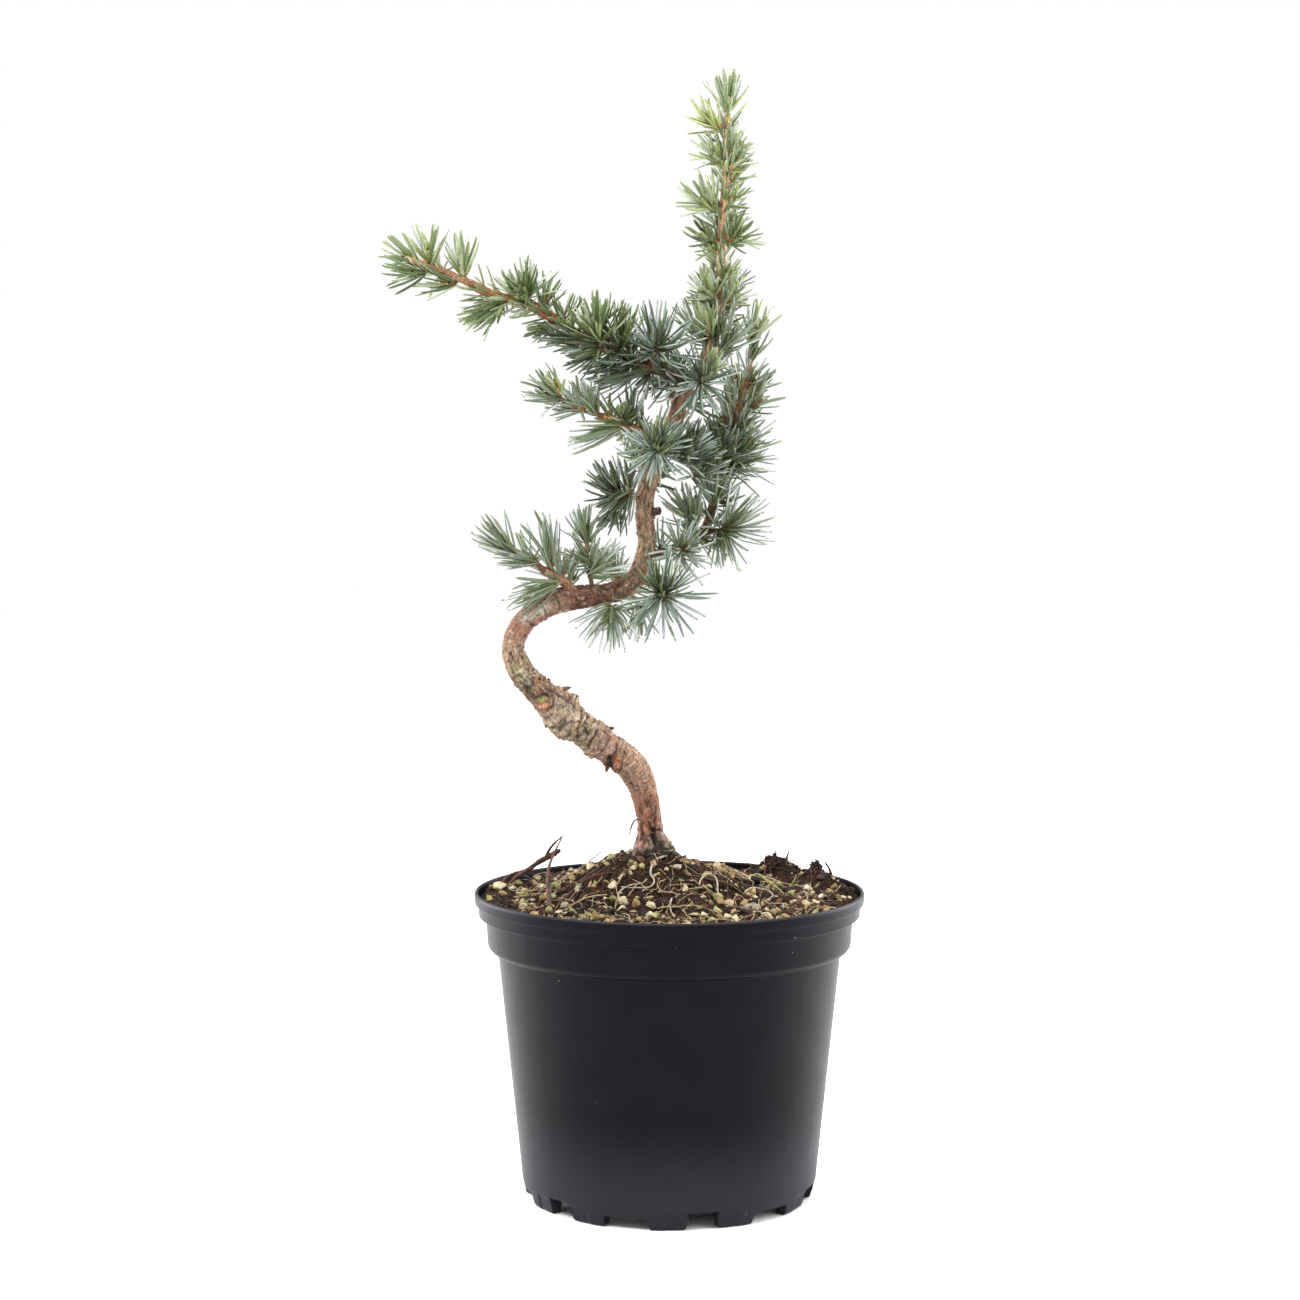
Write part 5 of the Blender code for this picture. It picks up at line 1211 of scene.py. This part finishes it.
def carve(spots, height, tones, blotch):
    """Press scars, creases, lips and patches of colour into the trunk's bark, with painted shade and
    highlight.

    spots are places on the smooth limb in millimetres; height, in metres, and tones are changed.
    """
    def bell(away):
        return np.exp(-np.minimum(away, 9.0) ** 2)

    def near(x, y, z, reach):
        return bell(np.linalg.norm(spots - (x, y, z), axis=2) / reach)

    for *place, reach, depth in HOLLOWS:
        dip = near(*place, reach)
        height -= depth * MM * dip
        # Painted shade: the hollows are darkened
        tones *= (1 - 0.5 * dip)[..., None]
    *place, radius, lift = RING_SCAR
    out = np.linalg.norm(spots - place, axis=2) * (1 + 0.12 * blotch)
    ring = bell((out - radius) / (0.26 * radius)) * (0.75 + 0.5 * blotch)
    height += lift * MM * ring
    tones += (SCAR - tones) * (0.6 * np.clip(ring, 0, 1))[..., None]
    # Patches: the bark's own colours, with some painted highlights and painted shade among them
    for x, y, z, reach, red, green, blue, strength in PATCHES:
        share = strength * near(x, y, z, reach) * (0.95 + 0.7 * blotch)
        tones += (np.array(tint(red, green, blue)) - tones) * np.clip(share, 0, 1)[..., None]
    for lump in CRUSTS:
        crust = near(*lump)[..., None]
        tones += (CRUST_DARK - tones) * 0.6 * crust
        tones += (CRUST_PALE - tones) * crust * np.clip((blotch - 0.1) / 0.2, 0, 1)[..., None]
    # Painted light: the creases are darkened as painted shade and the lips lightened as painted highlight
    for lines, sign, shading in ((LIPS, 1, 0.25), (CREASES, -1, 0.85)):
        for depth, reach, *line in lines:
            away = bell(to_line(spots, np.reshape(line, (-1, 3))) / (1.3 * reach)) * (0.9 + 0.5 * blotch)
            height += sign * 1.3 * depth * MM * away
            tones *= np.clip(1 + sign * shading * away, 0.14, 2)[..., None]


def dress_limb(piece, curve, start, end, step, sides, tell, material, carved=False, neck=0.0):
    """Bark round a limb, where tell gives its colour and nature at a distance in millimetres."""
    stops = at_steps(start, end, step)
    stations = []
    for stop in stops:
        point, tangent, radius = curve.at(stop)
        flare = 1 + neck * math.exp(-((stop - start) / NECK_REACH) ** 2)
        stations.append((point, tangent, radius * flare))
    smooth, outward = rings_round(stations, sides)
    height, blotch = np.zeros(smooth.shape[:2]), np.zeros(smooth.shape[:2])
    tones = np.zeros_like(smooth)
    for k, (stop, (_, _, radius)) in enumerate(zip(stops, stations)):
        colour, streaks, fine, wide, lichen, ridges = tell(stop / MM)
        for column in range(sides):
            turn = 2 * math.pi * column / sides
            local = Vector((radius * math.cos(turn), radius * math.sin(turn), stop)) / MM
            relief, light = bark_relief(local, streaks, fine, wide, ridges, radius)
            tone = np.array(colour)
            moss = smooth_step(noise.noise(local / 4.2 + Vector((1, 8, 3))), -0.05, 0.35) * lichen
            tone = tone * (1 - 0.55 * moss) + LICHEN * 0.55 * moss
            pale = smooth_step(noise.noise(local / 2.8 + Vector((9, 2, 5))), 0.2, 0.5)
            tone = tone * (1 - 0.4 * pale) + PALE_BARK * 0.4 * pale
            speck = smooth_step(noise.noise(local / 0.8 + Vector((3, 7, 2))), 0.25, 0.45) * lichen
            tone = tone * (1 - 0.8 * speck) + PALE_BARK * speck
            warm = noise.noise(local / 4 + Vector((5, 5, 1)))
            # light holds painted shade in the bark's cracks and painted highlight on its ridges
            tones[k, column] = tone * light * (1 + 0.1 * warm, 1 - 0.02 * warm, 1 - 0.14 * warm)
            height[k, column] = relief
            blotch[k, column] = noise.noise(local / 0.9)
            if carved:
                height[k, column] += trunk_swell(Vector(smooth[k, column]))
    if carved:
        carve(smooth / MM, height, tones, blotch)
    corners = smooth + outward * height[..., None]
    piece.add(corners, grid_faces(len(stations), sides), material, np.clip(tones, 0.003, 1))


def dress_stub(piece, controls, step, tell, material, end_tone):
    """Bark round a limb that ends in the open, and a small dome that closes its end."""
    stub = Curve(controls)
    dress_limb(piece, stub, 0, stub.length, step, STUB_SIDES, tell, material)
    tip, way, radius = stub.at(stub.length)
    radius *= 0.95
    stations = []
    for k in range(CAP_RINGS):
        lift = k / (CAP_RINGS - 1) * math.pi / 2
        point = tip + way * radius * 0.45 * math.sin(lift)
        stations.append((point, way, max(radius * math.cos(lift), 0.02 * MM)))
    add_tube(piece, stations, CAP_SIDES, material, end_tone)


def blend_rows(rows, value):
    """A table's row at a value between its rows: first comes the value, then a colour."""
    at, *columns = zip(*((row[0], *tint(*row[1:4]), *row[4:]) for row in rows))
    return [float(np.interp(value, at, column)) for column in columns]


def make_bark(trunk, boughs):
    """Trunk, boughs, stub and left shoot with the bark's relief."""
    rough = bark_look("bark_old", 0.85, 0.0011)
    young = bark_look("bark_young", 0.7, 0.0008)

    def trunk_tell(distance):
        *colour, streaks, fine, wide, lichen, ridges = blend_rows(BARK, distance)
        return colour, streaks, fine, wide, lichen, ridges

    def stub_tell(_):
        return tint(78, 56, 44), 1, 0, 0, 0, 1

    wood = Piece("trunk_bark", "bark")
    dress_limb(wood, trunk, 0, YOUNG_BARK_FROM, 0.46 * MM, 108, trunk_tell, rough, carved=True)
    dress_stub(wood, TRUNK_STUB, 0.5 * MM, stub_tell, rough, tint(70, 50, 40))
    dress_limb(wood, trunk, YOUNG_BARK_FROM, trunk.length, 0.75 * MM, 36, trunk_tell, young, carved=True)
    wood.finish(*TRUNK_NODES)
    make_flakes(trunk)
    limbs = Piece("bough_bark", "bark")
    for name, curve in boughs.items():
        def bough_tell(distance, name=name, curve=curve):
            share = distance * MM / curve.length
            age = 1 - share if name != "bough_right_lower" else 1
            return blend_rows(LIMB_BARK[name], share), 0.8 * age, 0.2 * age, 0, 0, 0.6 + 0.4 * share

        dress_limb(limbs, curve, 0.5 * MM, curve.length, 0.75 * MM, 28, bough_tell, rough, neck=NECK)
    shoot_length = Curve(LEFT_SHOOT).length

    def shoot_tell(distance):
        return blend_rows(LIMB_BARK["left_shoot"], distance * MM / shoot_length), 0.2, 0.1, 0, 0, 1

    dress_stub(limbs, LEFT_SHOOT, 0.6 * MM, shoot_tell, young, tint(186, 146, 100))
    limbs.finish(*boughs)


def make_flakes(trunk):
    """Thin flakes of bark that stand off the trunk: the placed ones, and small ones all along it."""
    rng = random.Random(f"{SEED} flakes")
    flakes = Piece("bark_flakes", "bark", smooth=False)
    rows = [(Vector(row[:3]) * MM, Vector(row[3:6]) * MM, row[6] * MM, row[7:]) for row in FLAKES]
    for _ in range(SMALL_FLAKES):
        point, tangent, radius = trunk.at(rng.uniform(3, 300) * MM)
        outward = around(tangent, rng.uniform(0, 2 * math.pi))
        foot = point + outward * radius * 0.97
        foot += outward * (trunk_swell(foot) - 0.1 * MM)
        way = (tangent * rng.choice((-1, 1)) + outward * rng.uniform(0.15, 0.5)).normalized()
        colour = rng.choice(FLAKE_COLOURS)
        rows.append((foot, foot + way * rng.uniform(0.9, 2.2) * MM, rng.uniform(0.8, 1.8) * MM, colour))
    looks = {}
    for foot, tip, width, colour in rows:
        if colour not in looks:
            other = [round(c * 0.72) for c in colour]
            looks[colour] = mottled_look(f"flake_{len(looks)}", colour, other, 0.0012, 0.9, 0.0005)
        way = tip - foot
        across = way.cross(Vector((rng.gauss(0, 1), -1, rng.gauss(0, 1)))).normalized() * width / 2
        thick = way.cross(across).normalized() * 0.25 * MM
        middle = foot + way * 0.6
        ring = [foot - across, foot + across, middle + across * 0.8, tip + across * 0.15]
        ring.append(middle - across * 0.65)
        corners = [c + thick for c in ring] + [c - thick for c in ring]
        faces = [(0, 2, 1), (0, 4, 2), (4, 3, 2), (7, 5, 6), (9, 5, 7), (8, 9, 7)]
        for k in range(5):
            after = (k + 1) % 5
            faces += [(k, after, k + 5), (after, after + 5, k + 5)]
        flakes.add([tuple(c) for c in corners], faces, looks[colour])
    flakes.finish()


# Foliage

# Each age of needle, blue-grey, blue-green, darker green, fresh green or yellow-green: four colours
# of the lit sides as painted light, three of the shaded ones as painted shade, the base, partly the
# needle's own and partly painted shade, and the tip
NEEDLE_COLOURS = {
    "steel": (
        (196, 210, 202), (162, 180, 166), (126, 146, 126), (98, 118, 92), (84, 98, 64), (66, 80, 48),
        (50, 62, 34), (104, 106, 66), (122, 124, 90),
    ),
    "blue": (
        (226, 234, 230), (206, 218, 208), (180, 196, 182), (154, 173, 152), (140, 153, 122),
        (120, 135, 102), (98, 113, 78), (146, 152, 104), (150, 150, 112),
    ),
    "deep": (
        (204, 216, 186), (180, 196, 160), (156, 176, 132), (134, 156, 106), (112, 130, 74), (92, 112, 58),
        (74, 92, 44), (146, 150, 84), (136, 140, 88),
    ),
    "fresh": (
        (236, 244, 234), (220, 232, 214), (206, 220, 182), (190, 208, 150), (164, 178, 136),
        (144, 160, 112), (120, 138, 88), (202, 204, 116), (172, 172, 124),
    ),
    "green": (
        (230, 238, 222), (214, 226, 198), (204, 216, 168), (192, 204, 136), (162, 176, 122),
        (144, 158, 100), (124, 140, 80), (198, 202, 112), (170, 174, 118),
    ),
    "lime": (
        (226, 234, 210), (212, 224, 188), (206, 216, 156), (192, 202, 126), (176, 188, 112),
        (158, 172, 94), (140, 156, 78), (206, 206, 108), (204, 210, 176),
    ),
}
LIT, SHADED = 4, 3
# The age of some of the short needles in the middle of a tuft of each age
INNER_AGE = {
    "steel": "blue", "blue": "deep", "deep": "green", "fresh": "lime", "green": "lime",
    "lime": "lime",
}
YOUNG = ("fresh", "green", "lime")
NEEDLE_WIDTH = {"steel": 1.5, "blue": 1.55, "deep": 1.7, "fresh": 2.05, "green": 1.9, "lime": 1.95}
# Places along a needle and its width there
NEEDLE_STATIONS = np.array([0, 0.08, 0.3, 0.55, 0.8, 0.94, 1.0])
NEEDLE_WIDTHS = np.array([0.55, 0.86, 1.0, 1.0, 0.95, 0.64, 0.05])
SPUR_FULLNESS = 1.6
BUD_SCALES = 13
BUD_COLOURS = ((176, 112, 66), (196, 136, 88), (124, 76, 48), (146, 92, 58))
# Twigs of tufts with needles shorter than this are of this year's wood
LONG_NEEDLE = 17


def read_masses():
    """The masses of foliage by their names in the model."""
    masses = {}
    for limb, rows in TUFTS:
        for name, (age, fullness, *tufts) in rows.items():
            tufts = [Tuft(row[:3], row[3:6], *row[6:9], (*row[9:], age)[0]) for row in tufts]
            masses[f"tuft_{name}"] = Mass(limb, name.endswith(("_tip", "_end")), fullness, tufts)
    return masses


def place_of(tuft):
    """The centre of a tuft and the direction in which it leans."""
    return Vector(tuft.centre) * MM, Vector(tuft.lean).normalized()


class Needles:
    """Needles gathered for a joined mesh, each a slim four-sided blade with a ridge and a keel."""

    def __init__(self, looks, limbs, shoot):
        self.looks = looks
        self.points = np.concatenate([curve.points for curve in limbs])
        self.radii = np.concatenate([curve.radii for curve in limbs])
        self.shoot = shoot
        self.rows = []

    def blocked(self, root, way, length):
        """Whether a needle would run into a limb, or hide the shoot at the left tip."""
        for share in (0.35, 0.55, 0.75, 1.0):
            spot = np.array(root + way * length * share)
            if (np.linalg.norm(self.points - spot, axis=1) < self.radii + 0.5 * MM).any():
                return True
        # One in three of the needles there stays in front of the shoot
        if root.x < -88 * MM and root.z > 436 * MM and round(root.x * 1e7) % 3:
            for share in (0.05, 0.15, 0.25, 0.35, 0.45, 0.55, 0.65, 0.75, 0.85, 0.95):
                away = self.shoot.points - np.array(root + way * length * share)
                beside = np.hypot(away[:, 0], away[:, 2]) < self.shoot.radii + 0.2 * MM
                if (beside & (away[:, 1] > -self.shoot.radii)).any():
                    return True
        return False

    def add(self, root, way, up, length, width, bend, side_bend, age, rng):
        lit, shaded, base, tip = self.looks[age]
        first, second = rng.sample(lit, 2)
        shades = (first, second, rng.choice(shaded), rng.choice(shaded), base, tip)
        self.rows.append((root, way, up, length, width, bend, side_bend, shades))

    def build(self, name, replaced):
        piece = Piece(name, "needles", smooth=False)
        stations, sides = len(NEEDLE_STATIONS), 4
        faces = turned(grid_faces(stations, sides))
        u = NEEDLE_STATIONS[:, None]
        for root, way, up, length, width, bend, side_bend, shades in self.rows:
            way, up = np.array(way), np.array(up)
            across = np.cross(way, up)
            line = np.array(root) + length * (way * u + up * bend * u**2 + across * side_bend * u**2)
            tangent = way + 2 * u * (up * bend + across * side_bend)
            tangent /= np.linalg.norm(tangent, axis=1)[:, None]
            top = up - tangent * (tangent @ up)[:, None]
            top /= np.linalg.norm(top, axis=1)[:, None]
            side = np.cross(tangent, top)
            half = (NEEDLE_WIDTHS * width / 2)[:, None]
            ring = (side * half, top * half * 0.6, -side * half, -top * half * 0.7)
            corners = np.stack([line + offset for offset in ring], axis=1)
            # The two upper sides take lit colours as painted light and the two lower ones shaded colours
            # as painted shade; the base colour runs onto one side of the next ring as painted shade
            *sides_of_it, base, tip = shades
            middle = sides_of_it * (stations - 4)
            piece.add(corners, faces, [base] * sides + [base] + sides_of_it[1:] + middle + [tip] * sides)
        piece.finish(*replaced)


def twig_stations(start, outward, tuft, root_radius):
    """A twig's centre line: it leaves its root outwards, bends, and ends in the tuft's bud."""
    centre, lean = place_of(tuft)
    bud_root = centre - lean * BUD_LENGTH / 2
    reach = (bud_root - start).length
    bend = start + outward * reach * 0.5
    stations = []
    steps = max(2, round(reach / (1.5 * MM)))
    for k in range(steps):
        u = k / steps
        point = start * (1 - u) ** 2 + bend * 2 * u * (1 - u) + bud_root * u**2
        direction = (bend - start) * (1 - u) + (bud_root - bend) * u
        radius = TWIG_RADIUS + (root_radius - TWIG_RADIUS) * (1 - u)
        stations.append((point, direction.normalized(), radius))
    stations.append((bud_root, lean, TWIG_RADIUS * 1.6))
    stations.append((centre, lean, TWIG_RADIUS * 1.5))
    return stations


def mass_twigs(mass, limbs):
    """The centre lines of a mass's twigs: the first from the limb, each later one from a twig before."""
    curve, low, high = limbs[mass.limb]
    first, _ = place_of(mass.tufts[0])
    root_radius = TWIG_RADIUS * 1.15
    if mass.at_tip:
        point, outward, root_radius = curve.at(curve.length)
    else:
        point, tangent, radius = curve.at(min(max(curve.nearest(first), low), high))
        outward = square_to(tangent, first - point).normalized()
        point = point + outward * radius * 0.5
    twigs = [twig_stations(point, outward, mass.tufts[0], root_radius)]
    for tuft in mass.tufts[1:]:
        centre, lean = place_of(tuft)
        target = centre - lean * BUD_LENGTH / 2
        rows = [station for twig in twigs for station in twig[1:]]
        point, direction, _ = min(rows, key=lambda row: (row[0] - target).length)
        away = (target - point).normalized()
        thick = TWIG_RADIUS * (1.4 if mass.at_tip else 1.1)
        twigs.append(twig_stations(point, (away * 2 + direction).normalized(), tuft, thick))
    return twigs


def add_twig(piece, tuft, path, look, rng):
    """A twig with knobs, tan where it is young and brown where it is old."""
    shade = 0.8 + 0.4 * rng.random()
    tone = np.array(tint(*((184, 136, 96) if tuft.needle < LONG_NEEDLE else (122, 86, 62)))) * shade
    corners, _ = rings_round(path, 10)
    knobs = np.array([1 + 0.16 * noise.noise(Vector(c) / (1.4 * MM)) for c in corners.reshape(-1, 3)])
    middles = corners.mean(axis=1, keepdims=True)
    corners = middles + (corners - middles) * knobs.reshape(len(path), -1, 1)
    piece.add(corners, grid_faces(len(path), 10), look, tone)


def add_bud(piece, tuft, rng, looks):
    """The bud in a tuft's centre: a small dome in pointed brown scales."""
    centre, lean = place_of(tuft)
    size = TWIG_RADIUS * rng.uniform(1.15, 1.45)
    base = centre + lean * BUD_LENGTH * 0.3
    stations = []
    for share, width in ((0, 0.9), (0.3, 1.0), (0.6, 0.8), (0.85, 0.45), (1, 0.05)):
        stations.append((base + lean * size * 1.7 * share, lean, size * width))
    add_tube(piece, stations, 9, looks[0])
    for k in range(BUD_SCALES):
        outward = around(lean, k * GOLDEN_ANGLE)
        level = 0.1 + 0.9 * k / BUD_SCALES
        root = base + lean * size * 1.3 * level + outward * size * (1.0 - 0.5 * level)
        way = (lean + outward * (1.1 - 0.9 * level)).normalized()
        flat = way.cross(outward).normalized()
        length, width = size * rng.uniform(1.0, 1.5), size * rng.uniform(0.45, 0.6)
        normal = flat.cross(way)
        corners = [
            root - flat * width, root + normal * width * 0.4, root + flat * width, root + way * length,
            root - normal * width * 0.3,
        ]
        faces = [(0, 1, 3), (1, 2, 3), (2, 4, 3), (4, 0, 3)]
        piece.add([tuple(c) for c in corners], faces, rng.choice(looks))


def grow_tuft(needles, tuft, fullness, rng):
    """A tuft's needles by the model's golden-angle spiral, fuller and at their real width."""
    centre, lean = place_of(tuft)
    turn = rng.uniform(0, 2 * math.pi)
    count = round(tuft.count * fullness)
    lift = 0.1 if lean.z > -0.2 else 0.0
    for k in range(count):
        share = (k + 0.5) / count
        tilt = math.radians(tuft.spread) * math.sqrt(share) * (1 + 0.2 * rng.uniform(-1, 1))
        outward = around(lean, turn + k * GOLDEN_ANGLE + 0.6 * rng.uniform(-1, 1))
        aside = outward * TWIG_RADIUS * (0.8 + 0.5 * share)
        root = centre + lean * BUD_LENGTH * (0.42 - 1.25 * share) + aside
        way = (lean * math.cos(tilt) + outward * math.sin(tilt) + UP * lift).normalized()
        length = tuft.needle * MM * (0.84 + 0.16 * share) * (1 + 0.12 * rng.uniform(-1, 0.8))
        inner = rng.random() < 0.4
        if inner:
            length *= rng.uniform(0.42, 0.78)
        up = square_to(way, lean + UP * lift * 7)
        up = up.normalized() if up.length > 0.05 else outward
        if needles.blocked(root, way, length):
            continue
        roll = rng.gauss(0, 0.4)
        up = (up * math.cos(roll) + way.cross(up) * math.sin(roll)).normalized()
        width = NEEDLE_WIDTH[tuft.age] * MM * rng.uniform(0.7, 1.1) * (0.9 if inner else 1)
        age = INNER_AGE[tuft.age] if inner and rng.random() < 0.6 else tuft.age
        bend = rng.gauss(0.26 if inner else 0.11, 0.1)
        needles.add(root, way, up, length, width, bend, rng.gauss(0, 0.11), age, rng)


def up_limb(curve, first, last, number, stray, twist, rng):
    """Places in a spiral up a limb: point, the limb's direction, its radius and the way outwards."""
    for k in range(number):
        distance = (first + (last - first) * (k + rng.random() * stray) / number) * MM
        point, tangent, radius = curve.at(min(distance, curve.length))
        yield point, tangent, radius, around(tangent, k * GOLDEN_ANGLE + rng.uniform(-twist, twist))


def grow_shoot(needles, curve, first, last, number, needle, age, rng):
    """Single needles in a spiral up a shoot."""
    for point, tangent, radius, outward in up_limb(curve, first, last, number, 0.6, 0.3, rng):
        tilt = math.radians(rng.uniform(32, 58))
        way = tangent * math.cos(tilt) + outward * math.sin(tilt)
        length = needle * MM * rng.uniform(0.75, 1.1)
        root = point + outward * radius * 0.8
        if needles.blocked(root + way * 3 * MM, way, length - 3 * MM):
            continue
        up = square_to(way, tangent).normalized()
        width = NEEDLE_WIDTH[age] * MM * rng.uniform(0.8, 1.0)
        needles.add(root, way, up, length, width, rng.gauss(0.05, 0.05), rng.gauss(0, 0.04), age, rng)


def grow_spurs(needles, twigs, look, curve, first, last, number, needle, count, age, rng):
    """Small tufts on short spurs in a spiral up a limb."""
    tone = tint(*((176, 140, 96) if age in YOUNG else (120, 88, 62)))
    for point, tangent, radius, outward in up_limb(curve, first, last, number, 0.5, 0.4, rng):
        lean = (outward + tangent * rng.uniform(0.2, 0.6) + UP * 0.25).normalized()
        centre = point + outward * (radius + rng.uniform(1.2, 3.2) * MM)
        path = [
            (point + outward * radius * 0.6, outward, TWIG_RADIUS), (centre, lean, TWIG_RADIUS * 1.2),
            (centre + lean * 2 * MM, lean, TWIG_RADIUS * 0.5),
        ]
        add_tube(twigs, path, 10, look, tone)
        spread = rng.uniform(45, 70)
        tuft = Tuft(centre / MM, lean, needle * rng.uniform(0.8, 1.1), count, spread, age)
        grow_tuft(needles, tuft, SPUR_FULLNESS, rng)


def needle_looks(age, colours):
    """Materials for the sides painted lit and shaded, the base and the tip of the needles of an age."""
    lit, shaded = colours[:LIT], colours[LIT:LIT + SHADED]
    base, tip = colours[LIT + SHADED:]
    return (
        [plain_look(f"needle_{age}_lit_{k}", tint(*c), 0.5, 0.4) for k, c in enumerate(lit)],
        [plain_look(f"needle_{age}_shaded_{k}", tint(*c), 0.5, 0.4) for k, c in enumerate(shaded)],
        plain_look(f"needle_{age}_base", tint(*base), 0.55, 0.35),
        plain_look(f"needle_{age}_tip", tint(*tip), 0.6, 0.3),
    )


def group_of(limb):
    """The joined pieces to which a limb's foliage belongs."""
    return next((group for group in ("leader", "left", "right") if group in limb), "trunk")


def make_foliage(trunk, boughs):
    """Twigs with buds and needles, in joined pieces by the limb that they grow on."""
    looks = {age: needle_looks(age, colours) for age, colours in NEEDLE_COLOURS.items()}
    bud_looks = []
    for k, colour in enumerate(BUD_COLOURS):
        other = [0.7 * c for c in colour]
        bud_looks.append(mottled_look(f"bud_{k}", colour, other, 0.0008, 0.7, 0.0003))
    twig_look = bark_look("twig_bark", 0.75, 0.0007)
    starts = [trunk.nearest(Vector(TRUNK[k][:3]) * MM) for k in TRUNK_NODES.values()] + [trunk.length]
    limbs = {name: (trunk, low, high) for name, low, high in zip(TRUNK_NODES, starts, starts[1:])}
    limbs.update({name: (curve, 0, curve.length) for name, curve in boughs.items()})
    masses = read_masses()
    for group in dict.fromkeys(group_of(mass.limb) for mass in masses.values()):
        needles = Needles(looks, (trunk, *boughs.values()), Curve(LEFT_SHOOT))
        twigs = Piece(f"twigs_{group}", "bark")
        buds = Piece(f"buds_{group}", "bark", smooth=False)
        names = [name for name, mass in masses.items() if group_of(mass.limb) == group]
        for name in names:
            rng = random.Random(f"{SEED} {name}")
            for tuft, path in zip(masses[name].tufts, mass_twigs(masses[name], limbs)):
                add_twig(twigs, tuft, path, twig_look, rng)
                add_bud(buds, tuft, rng, bud_looks)
            for tuft in masses[name].tufts:
                grow_tuft(needles, tuft, masses[name].fullness, rng)
        rng = random.Random(f"{SEED} shoots {group}")
        for limb, *row in SHOOT_NEEDLES:
            if group_of(limb) == group:
                grow_shoot(needles, limbs[limb][0], *row, rng)
        for limb, first, last, *row in SPURS:
            if group_of(limb) == group:
                curve, start, _ = limbs[limb]
                span = (start / MM + first, start / MM + last)
                grow_spurs(needles, twigs, twig_look, curve, *span, *row, rng)
        twigs.finish()
        buds.finish()
        needles.build(f"needles_{group}", names)


# Studio

FLOOR_EDGE = 4
CAMERA_PLACE = (-0.0094, -1.4075, 0.383)
CAMERA_PITCH = 0.082
SENSOR_WIDTH = 36
LENS = 80.74
RIM_COLOUR = (0.97, 0.94, 1.0)
# Lights: name, place, the place that they face, size, power
LIGHTS = (
    ("key_light", (-0.9, -1.1, 1.7), (0, 0, 0.28), 0.8, 38),
    ("fill_light", (1.3, -0.9, 1.0), (0, 0, 0.25), 1.0, 14),
    ("top_light", (0.1, 0.3, 1.8), (0, 0, 0.2), 1.2, 26),
    ("left_rim_light", (-1.3, 0.6, 0.3), (0, 0, 0.12), 1.3, 42),
    ("right_rim_light", (1.3, 0.6, 0.3), (0, 0, 0.12), 1.3, 40),
)


def make_studio():
    """Pale floor, soft light and a camera at the photograph's angle."""
    scene = bpy.context.scene
    scene.view_settings.view_transform = "Standard"
    world = bpy.data.worlds.new("studio")
    world.use_nodes = True
    background = world.node_tree.nodes["Background"]
    background.inputs["Color"].default_value = (1, 1, 1, 1)
    background.inputs["Strength"].default_value = 1.0
    scene.world = world
    mesh = bpy.data.meshes.new("studio_floor")
    corners = [(x * FLOOR_EDGE, y * FLOOR_EDGE, 0) for x, y in ((-1, -1), (1, -1), (1, 1), (-1, 1))]
    mesh.from_pydata(corners, [], [(0, 1, 2, 3)])
    mesh.materials.append(plain_look("floor_white", (0.95, 0.95, 0.955), 0.9, 0.1))
    floor = bpy.data.objects.new("studio_floor", mesh)
    scene.collection.objects.link(floor)
    for name, place, aim, size, power in LIGHTS:
        lamp = bpy.data.lights.new(name, "AREA")
        lamp.shape = "DISK"
        lamp.size = size
        lamp.energy = power
        if "rim" in name:
            lamp.color = RIM_COLOUR
        made = bpy.data.objects.new(name, lamp)
        made.location = place
        made.rotation_euler = (Vector(aim) - Vector(place)).to_track_quat("-Z", "Y").to_euler()
        scene.collection.objects.link(made)
    camera_data = bpy.data.cameras.new("photo_view")
    camera_data.sensor_width = SENSOR_WIDTH
    camera_data.lens = LENS
    camera = bpy.data.objects.new("photo_view", camera_data)
    camera.location = CAMERA_PLACE
    camera.rotation_euler = (math.pi / 2 - CAMERA_PITCH, 0, 0)
    scene.collection.objects.link(camera)
    scene.camera = camera


def main():
    trunk = Curve(TRUNK)
    boughs = {name: Curve(controls) for name, controls in BOUGHS.items()}
    make_studio()
    make_pot()
    make_soil()
    make_grit()
    make_fibres()
    make_bark(trunk, boughs)
    make_foliage(trunk, boughs)


main()
